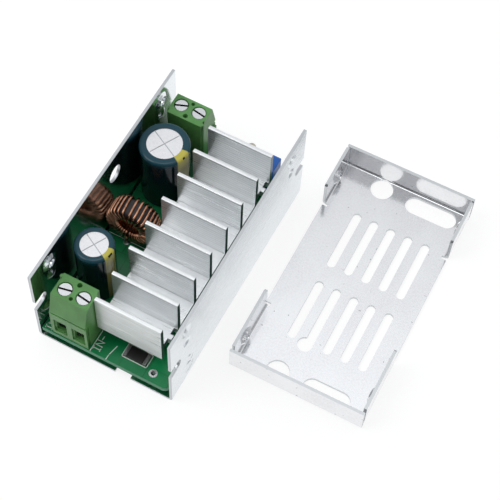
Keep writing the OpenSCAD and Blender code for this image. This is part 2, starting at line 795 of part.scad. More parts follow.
module term_housing() {
    difference() {
        union() {
            translate([-term_w / 2 + 0.05, 0, 0])
                rotate([90, 0, 90])
                    linear_extrude(height = term_w - 0.1)
                        polygon([[0, 0], [term_d, 0], [term_d, term_h], [1.6, term_h], [0, 11.6],
                            [0, 11], [0.6, 10.9], [0.6, 10.2], [0, 10.1]]);
            // joining rib on the left side near the front
            translate([-term_w / 2 - 0.5, 0.35, 0]) cube([0.6, 0.9, 9.6]);
            // joining hook at the back of the left side, low rib on the right side
            linear_extrude(height = term_h)
                polygon([[-term_w / 2 + 0.2, hook_y], [-term_w / 2 - 0.45, hook_y - 0.2],
                    [-term_w / 2 - 0.45, hook_y + 0.5], [-term_w / 2 + 0.2, term_d - 0.2]]);
            linear_extrude(height = term_h - 0.9)
                translate([term_w / 2 - 0.2, hook_y - 0.6]) square([0.4, 0.5]);
        }
        poles() {
            translate([0, 0, head_z]) cylinder(r = clamp_head_d / 2 + run_gap, h = 4);
            translate([0, 0, cavity_z1 - 1]) cylinder(r = clamp_d / 2 + run_gap, h = 6);
            translate([-cavity_w / 2, -cavity_d / 2, cavity_z0])
                cube([cavity_w, cavity_d, cavity_z1 - cavity_z0]);
            // wire opening with its stepped frame
            translate([-wire_hole_w / 2, -pole_y - 1, 2]) cube([wire_hole_w, 3.5, wire_hole_h]);
            translate([-wire_hole_w / 2 - 0.45, -pole_y - 1, 1.55])
                cube([wire_hole_w + 0.9, 1.5, wire_hole_h + 0.9]);
            // seats of the contact bar and its pin
            translate([-1.1, -cavity_d / 2 - 0.6, bar_z - 0.05]) cube([2.2, cavity_d + 0.9, 0.9]);
            translate([-0.6, cavity_d / 2 - 0.1, -1]) cube([1.2, 0.6, bar_z + 1.5]);
        }
        // moulding holes in the top, joining groove on the right side
        translate([0, pole_y + 2.5, term_h - 2]) cylinder(r = 0.65, h = 4);
        translate([0, pole_y - 1.6, term_h - 2]) cylinder(r = 0.5, h = 4);
        translate([term_w / 2 - 0.6, 0.25, -1]) cube([2, 1.1, 10.8]);
        // groove in front of the hook, room for a neighbour's hook behind the rib
        translate([-term_w / 2 - 1, hook_y - 0.75, -1]) cube([1.35, 0.6, term_h + 2]);
        translate([term_w / 2 - 0.4, hook_y - 0.05, -1]) cube([2, 4, term_h + 2]);
    }
}

// slotted clamp screw of one pole, its slot turned by an angle
module clamp_screw(turn) {
    translate([0, 0, cage_top_z]) cylinder(r = clamp_d / 2, h = head_z + 0.3 - cage_top_z);
    difference() {
        translate([0, 0, head_z + run_gap]) cylinder(r = clamp_head_d / 2, h = 1.35);
        rotate([0, 0, turn])
            translate([-3, -clamp_slot_w / 2, head_z + 0.55]) cube([6, clamp_slot_w, 2]);
    }
}

// wire cage of one pole: box open to the front and back, threaded top plate
module wire_cage() {
    w = cavity_w - 2 * run_gap;
    d = cavity_d - 2 * run_gap - 0.1;
    difference() {
        translate([-w / 2, -d / 2, cage_z0]) cube([w, d, cage_top_z + 1.2 - cage_z0]);
        translate([-w / 2 + 0.5, -d, cage_z0 + 0.8]) cube([w - 1, 2 * d, cage_top_z - cage_z0 - 0.8]);
        translate([0, 0, cage_z0 + 2]) cylinder(r = clamp_d / 2 + run_gap, h = 20);
    }
}

// fixed contact bars with pins through the board
module contacts() {
    poles() {
        translate([-1, -cavity_d / 2 - 0.5, bar_z]) cube([2, cavity_d + 0.75, 0.8]);
        translate([-0.45, cavity_d / 2, -board_t - 1]) cube([0.9, 0.4, bar_z + board_t + 1.4]);
    }
}

module one_pole(k) translate([k * pole_pitch / 2, pole_y, 0]) children();

green = [0.34, 0.58, 0.3];
plated = [0.78, 0.79, 0.8];
module input_terminal() color(green) at_front() term_housing();
module input_screw_1() color(plated) at_front() one_pole(-1) clamp_screw(12);
module input_screw_2() color(plated) at_front() one_pole(1) clamp_screw(-7);
module input_cage_1() color(plated) at_front() one_pole(-1) wire_cage();
module input_cage_2() color(plated) at_front() one_pole(1) wire_cage();
module input_contacts() color(plated) at_front() contacts();
module output_terminal() color(green) at_rear() term_housing();
module output_screw_1() color(plated) at_rear() one_pole(-1) clamp_screw(-9);
module output_screw_2() color(plated) at_rear() one_pole(1) clamp_screw(22);
module output_cage_1() color(plated) at_rear() one_pole(-1) wire_cage();
module output_cage_2() color(plated) at_rear() one_pole(1) wire_cage();
module output_contacts() color(plated) at_rear() contacts();

// trimmer with its adjusting screw
module trimmer_body() {
    color([0.1, 0.33, 0.66])
    difference() {
        translate([trim_x1 - trim_l, trim_y1 - trim_w, trim_z]) cube([trim_l, trim_w, trim_h - 0.3]);
        translate([trim_screw_x, trim_screw_y, trim_z + trim_h - 4.3])
            cylinder(r = trim_screw_d / 2 + 0.15, h = 8);
    }
}

module trimmer_screw() {
    color([0.76, 0.6, 0.28])
    translate([trim_screw_x, trim_screw_y, trim_z + trim_h - 4.1])
        difference() {
            cylinder(r = trim_screw_d / 2, h = 5.6);
            translate([-3, -0.25, 4.9]) cube([6, 0.5, 2]);
        }
}

module trimmer_pins() {
    color([0.8, 0.8, 0.8])
    for (i = [4:6])
        translate([round_pins[i][0], round_pins[i][1], board_z0 - 1])
            cylinder(r = 0.28, h = trim_z - board_z0 + 1);
}

module solder_joints() {
    color([0.74, 0.75, 0.76])
    for (p = all_pins)
        translate([p[0], p[1], board_z0 - 0.9])
            difference() {
                cylinder(r1 = 0.62, r2 = 1.05, h = 0.9);
                translate([0, 0, -1]) cylinder(r = 0.52, h = 3);
            }
}

module test_eyelet() {
    color([0.8, 0.8, 0.79])
    translate([eyelet_x, eyelet_y, board_z0])
        difference() {
            union() {
                cylinder(r = eyelet_r, h = board_t + 0.06);
                translate([0, 0, board_t]) cylinder(r = eyelet_r + 0.35, h = 0.06);
            }
            translate([0, 0, -1]) cylinder(r = eyelet_r - 0.15, h = board_t + 2);
        }
}

case_base();
top_cover();
circuit_board();
spacers();
case_screws();
heatsink();
thermal_pads();
mosfet();
rectifier_diode();
power_tabs();
controller_chip();
controller_leads();
chip_capacitors();
chip_resistors();
chip_ends();
shunt_body();
shunt_ends();
input_cap_can();
input_cap_sleeve();
input_cap_seal();
input_cap_leads();
output_cap_can();
output_cap_sleeve();
output_cap_seal();
output_cap_leads();
inductor_core();
inductor_winding();
input_terminal();
input_screw_1();
input_screw_2();
input_cage_1();
input_cage_2();
input_contacts();
output_terminal();
output_screw_1();
output_screw_2();
output_cage_1();
output_cage_2();
output_contacts();
trimmer_body();
trimmer_screw();
trimmer_pins();
solder_joints();
test_eyelet();
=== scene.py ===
"""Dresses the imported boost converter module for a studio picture.

The CAD frame gives every place. This script copies the folded and moulded nodes to give
them eased edges, sweeps the copper winding, adds board printing and solder, and finishes
every surface with a procedural material.
"""

import logging
import math
from dataclasses import dataclass
from enum import Enum
from typing import Any, Optional

import bmesh
import bpy
import numpy as np
from mathutils import Matrix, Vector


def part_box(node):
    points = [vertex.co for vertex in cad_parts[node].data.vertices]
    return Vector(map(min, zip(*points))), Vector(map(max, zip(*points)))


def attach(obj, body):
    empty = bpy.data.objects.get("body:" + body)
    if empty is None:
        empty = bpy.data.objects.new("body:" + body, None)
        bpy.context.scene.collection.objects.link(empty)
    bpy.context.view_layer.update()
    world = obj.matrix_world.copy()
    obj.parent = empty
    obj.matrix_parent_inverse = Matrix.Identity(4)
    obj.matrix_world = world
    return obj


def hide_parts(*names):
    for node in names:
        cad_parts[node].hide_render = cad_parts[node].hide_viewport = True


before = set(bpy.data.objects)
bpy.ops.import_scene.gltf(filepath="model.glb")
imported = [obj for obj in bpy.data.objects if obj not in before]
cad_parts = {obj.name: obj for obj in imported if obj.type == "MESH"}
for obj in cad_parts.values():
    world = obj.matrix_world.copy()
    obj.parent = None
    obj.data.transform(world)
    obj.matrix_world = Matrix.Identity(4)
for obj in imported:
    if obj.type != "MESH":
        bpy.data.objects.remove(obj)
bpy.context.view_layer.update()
LOG = logging.getLogger("boost_converter")
MM = 0.001

Point = tuple[float, float]
Triple = tuple[float, float, float]

# sockets of a colour Mix node, which share their names with those of its other kinds
FACTOR, FIRST, SECOND, RESULT = 0, 6, 7, 2

# shares of a noise's seed by which it is shifted along X, Y and Z
SEED_SHARES = (1.0, 1.7, 0.6)

# copying a node: distance in metres within which vertices are one, angle in degrees up to which
# faces are one, angle past which an edge is eased, and segments across the eased edge
MERGE_NEAR = 2e-6
FLAT_ANGLE = 1.0
EDGE_ANGLE = 32.0
EDGE_STEPS = 2

# cut edge of a sheet: two unit normals 60 degrees apart add up to a squared length of 3, and
# a cut face may be a little wider than the sheet is thick
SHARP_SUM = 3.0
CUT_SLACK = 1.06


class Axis(Enum):
    """Direction in which a sheet was rolled."""

    X = 0
    Y = 1
    Z = 2


class Polarity(Enum):
    """Sign printed beside a pole of the input."""

    PLUS = "+"
    MINUS = "-"


class Side(Enum):
    """End of the module at which a capacitor or a terminal stands."""

    INPUT = "input"
    OUTPUT = "output"


def linear(code: str) -> tuple[float, float, float, float]:
    """Turn an sRGB hex colour into linear RGBA.

    Args:
        code: colour such as "#1a56a8".

    Returns:
        Linear red, green, blue and an alpha of 1.
    """
    parts = [int(code[i:i + 2], 16) / 255 for i in (1, 3, 5)]
    red, green, blue = (p / 12.92 if p <= 0.04045 else ((p + 0.055) / 1.055) ** 2.4 for p in parts)
    return red, green, blue, 1.0


def per_mm(size: float) -> float:
    """Texture scale at which one feature is size millimetres wide, with coordinates in metres."""
    return 1.0 / (size * MM)


def box_mm(node: str) -> np.ndarray:
    """Low and high corner of a CAD node's box in millimetres."""
    return np.array([list(corner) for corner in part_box(node)]) / MM


def fill(tree: bpy.types.NodeTree, node: bpy.types.Node, inputs: dict[Any, Any]) -> None:
    """Set or link the inputs of a shader node.

    Args:
        tree: node tree that holds the node.
        node: node to fill.
        inputs: input name or number to a constant, a node, or a (node, output) pair.
    """
    for key, value in inputs.items():
        if isinstance(value, bpy.types.Node):
            tree.links.new(value.outputs[0], node.inputs[key])
        elif isinstance(value, tuple) and isinstance(value[0], bpy.types.Node):
            tree.links.new(value[0].outputs[value[1]], node.inputs[key])
        else:
            node.inputs[key].default_value = value


def put(tree: bpy.types.NodeTree, kind: str, inputs: Optional[dict[Any, Any]] = None,
        **settings: Any) -> bpy.types.Node:
    """Add one shader node with its settings and links.

    Args:
        tree: node tree to add to.
        kind: node type name.
        inputs: input name or number to a constant, a node, or a (node, output) pair.
        **settings: properties of the node.

    Returns:
        The new node.
    """
    node = tree.nodes.new(kind)
    for key, value in settings.items():
        setattr(node, key, value)
    fill(tree, node, inputs or {})
    return node


@dataclass
class Ground:
    """An empty material with its shader and object coordinates, ready for a finish to fill."""

    material: bpy.types.Material
    tree: bpy.types.NodeTree
    shader: bpy.types.Node
    coords: bpy.types.Node

    @classmethod
    def start(cls, name: str) -> "Ground":
        """Make the material.

        Args:
            name: name of the real material and finish.

        Returns:
            The ground, its shader linked to the output.
        """
        material = bpy.data.materials.new(name)
        material.use_nodes = True
        tree = material.node_tree
        tree.nodes.clear()
        shader = put(tree, "ShaderNodeBsdfPrincipled")
        put(tree, "ShaderNodeOutputMaterial", {"Surface": shader})
        coords = put(tree, "ShaderNodeTexCoord")
        return cls(material, tree, shader, coords)

    def noise(self, size: Triple, detail: float, seed: float, turn: float = 0.0) -> bpy.types.Node:
        """Noise whose features are size millimetres along X, Y and Z.

        Args:
            size: feature size in millimetres along each axis.
            detail: number of finer octaves.
            seed: shift that makes one noise differ from another.
            turn: turn of the pattern about Z in degrees.

        Returns:
            The noise texture node.
        """
        place = put(self.tree, "ShaderNodeMapping", {
            "Vector": (self.coords, "Object"), "Location": tuple(seed * s for s in SEED_SHARES),
            "Rotation": (0.0, 0.0, math.radians(turn)), "Scale": tuple(per_mm(s) for s in size)})
        return put(self.tree, "ShaderNodeTexNoise", {"Vector": place, "Scale": 1.0, "Detail": detail})

    def wire(self, inputs: dict[str, Any]) -> bpy.types.Material:
        """Fill the shader's inputs and return the finished material."""
        fill(self.tree, self.shader, inputs)
        return self.material


@dataclass(frozen=True)
class RolledSheet:
    """Bright rolled aluminium sheet: a soft mirror with faint lines along the rolling direction,
    a fine grain, cloudy handling marks, a few hair scratches and specks. The side that was kept
    under its film is the clearer mirror, and the sheared edges are duller and greyer. Sizes are
    in millimetres, and inner faces lie less than inner_half from the middle plane."""

    name: str
    colour: str
    dull: str
    outer_rough: float
    inner_rough: float
    inner_half: float
    marks: float
    sheared: str
    scratch: str = "#8f9398"
    speck: str = "#55585c"
    rolled: Axis = Axis.Y
    line_wide: float = 0.4
    line_long: float = 16.0
    scratch_rough: float = 0.6
    sheared_rough: float = 0.2

    def material(self) -> bpy.types.Material:
        """Build the finish and return it."""
        g = Ground.start(self.name)
        grain = [self.line_wide] * 3
        grain[self.rolled.value] = self.line_long
        lines = g.noise(tuple(grain), detail=3.0, seed=0.3)
        clouds = g.noise((9.0, 12.0, 9.0), detail=3.0, seed=0.7)
        # grit of about 0.5 mm, coarser than the real one so that it shows
        grit = g.noise((0.5, 0.5, 0.5), detail=2.0, seed=0.9)
        steep = g.noise((0.12, 4.0, 0.5), detail=2.0, seed=0.11, turn=34.0)
        slant = g.noise((3.0, 0.12, 0.5), detail=2.0, seed=0.52, turn=21.0)
        hairs = put(g.tree, "ShaderNodeMath", {0: steep, 1: slant}, operation="MAXIMUM")
        worn = put(g.tree, "ShaderNodeMapRange", {"Value": hairs, "From Min": 0.72, "From Max": 0.8,
                                                  "To Min": 0.0, "To Max": self.marks})
        tone = put(g.tree, "ShaderNodeMath", {0: clouds, 1: grit}, operation="MULTIPLY")
        tone = put(g.tree, "ShaderNodeMapRange", {"Value": tone, "From Min": 0.14, "From Max": 0.4})
        mixed = put(g.tree, "ShaderNodeMix", {
            FACTOR: tone, FIRST: linear(self.colour), SECOND: linear(self.dull)}, data_type="RGBA")
        scratched = put(g.tree, "ShaderNodeMix", {
            FACTOR: worn, FIRST: (mixed, RESULT), SECOND: linear(self.scratch)}, data_type="RGBA")
        dust = g.noise((0.7, 0.7, 0.7), detail=0.0, seed=0.23)
        spots = put(g.tree, "ShaderNodeMapRange", {"Value": dust, "From Min": 0.83, "From Max": 0.87,
                                                   "To Min": 0.0, "To Max": self.marks * 2})
        specked = put(g.tree, "ShaderNodeMix", {
            FACTOR: spots, FIRST: (scratched, RESULT), SECOND: linear(self.speck)}, data_type="RGBA")
        cut = put(g.tree, "ShaderNodeAttribute", attribute_name="sheared")
        shade = put(g.tree, "ShaderNodeMix", {
            FACTOR: (cut, "Fac"), FIRST: (specked, RESULT), SECOND: linear(self.sheared)}, data_type="RGBA")
        place = put(g.tree, "ShaderNodeSeparateXYZ", {0: (g.coords, "Object")})
        away = put(g.tree, "ShaderNodeMath", {0: (place, "X")}, operation="ABSOLUTE")
        side = put(g.tree, "ShaderNodeMath", {0: away, 1: self.inner_half * MM}, operation="GREATER_THAN")
        base = put(g.tree, "ShaderNodeMapRange", {
            "Value": side, "To Min": self.inner_rough, "To Max": self.outer_rough})
        streak = put(g.tree, "ShaderNodeMapRange", {"Value": lines, "From Min": 0.3, "From Max": 0.7,
                                                    "To Min": -0.02, "To Max": 0.03})
        rough = put(g.tree, "ShaderNodeMath", {0: base, 1: streak}, operation="ADD")
        rough = put(g.tree, "ShaderNodeMath", {0: worn, 1: self.scratch_rough, 2: rough},
                    operation="MULTIPLY_ADD")
        rough = put(g.tree, "ShaderNodeMath", {0: (cut, "Fac"), 1: self.sheared_rough, 2: rough},
                    operation="MULTIPLY_ADD")
        bump = put(g.tree, "ShaderNodeBump", {"Height": lines, "Strength": 0.12, "Distance": 0.01 * MM})
        return g.wire({"Base Color": (shade, RESULT), "Metallic": 1.0, "Roughness": rough, "Normal": bump})


@dataclass(frozen=True)
class DrawnAluminium:
    """Drawn aluminium: the die leaves fine uneven ridges along the length on the fin faces, whose
    valleys are painted darker as painted shade, the sawn end faces are painted dark as a painted
    reflection of the shaded gap they face, and the oxide skin scatters part of the light. A ridge is
    ridge millimetres high, and a face counts as a fin's or an end's by its normal's share of Y or X."""

    name: str
    colour: str
    dull: str
    valley_shade: str
    # painted reflection: colour of the end faces, painted dark for the shaded gap they face
    sawn: str
    roughness: float
    ridge: float
    ridge_share: float = 0.8
    fin_from: float = 0.6
    end_from: float = 0.75

    def material(self) -> bpy.types.Material:
        """Build the finish and return it."""
        g = Ground.start(self.name)
        place = put(g.tree, "ShaderNodeSeparateXYZ", {0: (g.coords, "Object")})
        normal = put(g.tree, "ShaderNodeNewGeometry")
        facing = put(g.tree, "ShaderNodeSeparateXYZ", {0: (normal, "Normal")})
        # sine ridges over the height, made uneven by a noise that runs along the fin
        wave = put(g.tree, "ShaderNodeMath", {0: (place, "Z"), 1: 2 * math.pi / (self.ridge * MM)},
                   operation="MULTIPLY")
        ridges = put(g.tree, "ShaderNodeMath", {0: wave}, operation="SINE")
        uneven = g.noise((60.0, 5.0, 0.9), detail=2.0, seed=0.37)
        lift = put(g.tree, "ShaderNodeMapRange", {"Value": uneven, "From Min": 0.3, "From Max": 0.7,
                                                  "To Min": -0.5, "To Max": 0.5})
        rows = put(g.tree, "ShaderNodeMath", {0: ridges, 1: self.ridge_share, 2: lift},
                   operation="MULTIPLY_ADD")
        side = put(g.tree, "ShaderNodeMath", {0: (facing, "Y")}, operation="ABSOLUTE")
        broad = put(g.tree, "ShaderNodeMath", {0: side, 1: self.fin_from}, operation="GREATER_THAN")
        ribs = put(g.tree, "ShaderNodeMath", {0: rows, 1: broad}, operation="MULTIPLY")
        # end faces, painted dark as a painted reflection of the shaded gap they face
        ends = put(g.tree, "ShaderNodeMath", {0: (facing, "X")}, operation="ABSOLUTE")
        cut = put(g.tree, "ShaderNodeMath", {0: ends, 1: self.end_from}, operation="GREATER_THAN")
        grain = g.noise((12.0, 0.3, 0.3), detail=4.0, seed=0.2)
        clouds = g.noise((6.0, 9.0, 5.0), detail=3.0, seed=0.8)
        tone = put(g.tree, "ShaderNodeMapRange", {"Value": clouds, "From Min": 0.35, "From Max": 0.7})
        shade = put(g.tree, "ShaderNodeMix", {
            FACTOR: tone, FIRST: linear(self.colour), SECOND: linear(self.dull)}, data_type="RGBA")
        # painted shade: the valleys between the ridges are painted darker
        low = put(g.tree, "ShaderNodeMapRange", {"Value": ribs, "From Min": -1.2, "From Max": 0.2,
                                                 "To Min": 0.6, "To Max": 0.0})
        lined = put(g.tree, "ShaderNodeMix", {
            FACTOR: low, FIRST: (shade, RESULT), SECOND: linear(self.valley_shade)}, data_type="RGBA")
        # painted reflection: the end faces take the dark colour
        colour = put(g.tree, "ShaderNodeMix", {
            FACTOR: cut, FIRST: (lined, RESULT), SECOND: linear(self.sawn)}, data_type="RGBA")
        rough = put(g.tree, "ShaderNodeMapRange", {
            "Value": grain, "From Min": 0.3, "From Max": 0.7,
            "To Min": self.roughness - 0.06, "To Max": self.roughness + 0.08})
        fine = put(g.tree, "ShaderNodeBump", {"Height": grain, "Strength": 0.2, "Distance": 0.015 * MM})
        bump = put(g.tree, "ShaderNodeBump", {
            "Height": ribs, "Strength": 1.0, "Distance": 0.055 * MM, "Normal": fine})
        return g.wire({"Base Color": (colour, RESULT), "Metallic": 0.8, "Roughness": rough, "Normal": bump})


@dataclass(frozen=True)
class SolderMask:
    """Glass-fibre board under green coating: copper areas show through as lighter fields with
    dark clear lines between them, the weave as a faint cloud, the sawn edge as paler green that
    is painted lighter still, a painted highlight along it.
    Sizes of the fields and lines are in millimetres."""

    name: str
    copper: str
    bare: str
    deep: str
    edge: str
    field_long: float = 11.0
    field_wide: float = 6.0
    line_half: float = 0.12
    top_from: float = 0.5

    def material(self) -> bpy.types.Material:
        """Build the finish and return it."""
        g = Ground.start(self.name)
        normal = put(g.tree, "ShaderNodeNewGeometry")
        facing = put(g.tree, "ShaderNodeSeparateXYZ", {0: (normal, "Normal")})
        flat = put(g.tree, "ShaderNodeMath", {0: (facing, "Z")}, operation="ABSOLUTE")
        top = put(g.tree, "ShaderNodeMath", {0: flat, 1: self.top_from}, operation="GREATER_THAN")
        place = put(g.tree, "ShaderNodeMapping", {
            "Vector": (g.coords, "Object"), "Location": (0.3, 0.4, 0.0),
            "Scale": (per_mm(1.0), per_mm(1.0), 0.0)})
        fields = put(g.tree, "ShaderNodeTexBrick", {
            "Vector": place, "Color1": linear(self.copper), "Color2": linear(self.bare),
            "Mortar": linear(self.deep), "Scale": 1.0, "Mortar Size": self.line_half, "Mortar Smooth": 0.3,
            "Brick Width": self.field_long, "Row Height": self.field_wide}, offset=0.37, squash=0.6)
        cloud = g.noise((7.0, 9.0, 7.0), detail=2.0, seed=0.4)
        tone = put(g.tree, "ShaderNodeMapRange", {"Value": cloud, "From Min": 0.35, "From Max": 0.68,
                                                  "To Min": 0.0, "To Max": 0.75})
        green = put(g.tree, "ShaderNodeMix", {
            FACTOR: tone, FIRST: fields, SECOND: linear(self.copper)}, data_type="RGBA")
        # sides in the edge colour: a paler sawn edge, partly a painted highlight
        colour = put(g.tree, "ShaderNodeMix", {
            FACTOR: top, FIRST: linear(self.edge), SECOND: (green, RESULT)}, data_type="RGBA")
        rise = put(g.tree, "ShaderNodeMath", {0: 1.0, 1: (fields, "Fac")}, operation="SUBTRACT")
        bump = put(g.tree, "ShaderNodeBump", {"Height": rise, "Strength": 0.3, "Distance": 0.03 * MM})
        rough = put(g.tree, "ShaderNodeMapRange", {"Value": top, "To Min": 0.5, "To Max": 0.28})
        return g.wire({"Base Color": (colour, RESULT), "Roughness": rough, "IOR": 1.52, "Normal": bump,
                       "Specular IOR Level": 0.35})


@dataclass(frozen=True)
class MouldedPlastic:
    """Injection-moulded plastic: slightly cloudy colour, soft sheen from an eroded mould, and a
    faint glow from inside."""

    name: str
    colour: str
    shade: str
    roughness: float
    glow: float = 0.0

    def material(self) -> bpy.types.Material:
        """Build the finish and return it."""
        g = Ground.start(self.name)
        cloud = g.noise((4.0, 4.0, 6.0), detail=3.0, seed=0.3)
        grit = g.noise((0.22, 0.22, 0.22), detail=2.0, seed=0.9)
        tone = put(g.tree, "ShaderNodeMapRange", {"Value": cloud, "From Min": 0.3, "From Max": 0.7})
        colour = put(g.tree, "ShaderNodeMix", {
            FACTOR: tone, FIRST: linear(self.shade), SECOND: linear(self.colour)}, data_type="RGBA")
        rough = put(g.tree, "ShaderNodeMapRange", {
            "Value": grit, "From Min": 0.3, "From Max": 0.7,
            "To Min": self.roughness - 0.06, "To Max": self.roughness + 0.08})
        bump = put(g.tree, "ShaderNodeBump", {"Height": grit, "Strength": 0.3, "Distance": 0.02 * MM})
        return g.wire({"Base Color": (colour, RESULT), "Roughness": rough, "IOR": 1.5, "Normal": bump,
                       "Subsurface Weight": self.glow, "Subsurface Radius": (0.4, 0.8, 0.3),
                       "Subsurface Scale": 0.5 * MM})


@dataclass(frozen=True)
class ShrunkFilm:
    """Shrunk PET film of a capacitor: dark blue-green gloss, paler towards the shoulder at the top,
    with the gold polarity band printed on one side, painted lighter towards the top as a painted
    reflection and darker lower down. Places are in millimetres, angles round the can in degrees,
    and heights are measured down from the top."""

    name: str
    centre: Point
    top: float
    band_at: float
    band_half: float
    bar_half: float
    side: str = "#0d2024"
    shoulder: str = "#14424f"
    band: str = "#c2b850"
    band_low: str = "#8c8652"
    ink: str = "#20261c"
    bar_down: float = 0.4
    bar_thick: float = 0.25
    band_soft: float = 0.02

    def material(self) -> bpy.types.Material:
        """Build the finish and return it."""
        g = Ground.start(self.name)
        shift = put(g.tree, "ShaderNodeMapping", {
            "Vector": (g.coords, "Object"), "Location": (-self.centre[0] * MM, -self.centre[1] * MM, 0.0)})
        place = put(g.tree, "ShaderNodeSeparateXYZ", {0: shift})
        # angle round the can's axis, measured from the middle of the band
        spin = put(g.tree, "ShaderNodeMath", {0: (place, "Y"), 1: (place, "X")}, operation="ARCTAN2")
        away = put(g.tree, "ShaderNodeMath", {0: spin, 1: math.radians(self.band_at)}, operation="SUBTRACT")
        wrap = put(g.tree, "ShaderNodeMath", {0: away, 1: math.pi, 2: -math.pi}, operation="WRAP")
        off = put(g.tree, "ShaderNodeMath", {0: wrap}, operation="ABSOLUTE")
        half = math.radians(self.band_half)
        inside = put(g.tree, "ShaderNodeMapRange", {
            "Value": off, "From Min": half - self.band_soft, "From Max": half + self.band_soft,
            "To Min": 1.0, "To Max": 0.0})
        # one short dark bar across the middle of the band, at the shoulder
        low = put(g.tree, "ShaderNodeMath", {0: (place, "Z"), 1: self.top * MM}, operation="SUBTRACT")
        level = put(g.tree, "ShaderNodeMath", {0: low, 1: -self.bar_down * MM, 2: self.bar_thick * MM},
                    operation="COMPARE")
        near = put(g.tree, "ShaderNodeMath", {0: wrap, 1: 0.0, 2: math.radians(self.bar_half)},
                   operation="COMPARE")
        bar = put(g.tree, "ShaderNodeMath", {0: level, 1: near}, operation="MULTIPLY")
        rise = put(g.tree, "ShaderNodeMapRange", {
            "Value": low, "From Min": -2.4 * MM, "From Max": -0.4 * MM})
        # painted reflection: the band is painted lighter towards the top and darker lower down
        band_reflection = put(g.tree, "ShaderNodeMapRange", {
            "Value": low, "From Min": -4.5 * MM, "From Max": -0.5 * MM})
        film = put(g.tree, "ShaderNodeMix", {
            FACTOR: rise, FIRST: linear(self.side), SECOND: linear(self.shoulder)}, data_type="RGBA")
        gold = put(g.tree, "ShaderNodeMix", {
            FACTOR: band_reflection, FIRST: linear(self.band_low), SECOND: linear(self.band)}, data_type="RGBA")
        mark = put(g.tree, "ShaderNodeMix", {
            FACTOR: bar, FIRST: (gold, RESULT), SECOND: linear(self.ink)}, data_type="RGBA")
        colour = put(g.tree, "ShaderNodeMix", {
            FACTOR: inside, FIRST: (film, RESULT), SECOND: (mark, RESULT)}, data_type="RGBA")
        wave = g.noise((3.0, 3.0, 5.0), detail=2.0, seed=0.5)
        bump = put(g.tree, "ShaderNodeBump", {"Height": wave, "Strength": 0.15, "Distance": 0.1 * MM})
        return g.wire({"Base Color": (colour, RESULT), "Roughness": 0.14, "IOR": 1.57, "Normal": bump,
                       "Specular IOR Level": 0.3})


@dataclass(frozen=True)
class SpunMetal:
    """Small turned or pressed metal: bright, with faint tool marks of the size of the grain in
    millimetres, and painted dark below a given height, painted shade as in the slot of a screw."""

    name: str
    colour: str
    dull: str
    roughness: float
    grain: float
    slot_shade: str = "#3c3a38"

    def material(self, shade_below: Optional[float] = None) -> bpy.types.Material:
        """Build the finish.

        Args:
            shade_below: height in millimetres under which the metal is painted dark as painted shade.

        Returns:
            The material.
        """
        g = Ground.start(self.name)
        fine = g.noise((self.grain, self.grain * 3, self.grain), detail=3.0, seed=0.2)
        tone = put(g.tree, "ShaderNodeMapRange", {"Value": fine, "From Min": 0.35, "From Max": 0.7})
        colour = put(g.tree, "ShaderNodeMix", {
            FACTOR: tone, FIRST: linear(self.colour), SECOND: linear(self.dull)}, data_type="RGBA")
        rough = put(g.tree, "ShaderNodeMapRange", {
            "Value": fine, "From Min": 0.3, "From Max": 0.7,
            "To Min": self.roughness - 0.05, "To Max": self.roughness + 0.08})
        bump = put(g.tree, "ShaderNodeBump", {"Height": fine, "Strength": 0.04, "Distance": 0.01 * MM})
        if shade_below is not None:
            # painted shade: below this height, as in a screw's slot, the metal is painted dark
            place = put(g.tree, "ShaderNodeSeparateXYZ", {0: (g.coords, "Object")})
            low = put(g.tree, "ShaderNodeMath", {0: (place, "Z"), 1: shade_below * MM}, operation="LESS_THAN")
            colour = put(g.tree, "ShaderNodeMix", {
                FACTOR: low, FIRST: (colour, RESULT), SECOND: linear(self.slot_shade)}, data_type="RGBA")
        return g.wire({"Base Color": (colour, RESULT), "Metallic": 1.0, "Roughness": rough, "Normal": bump})


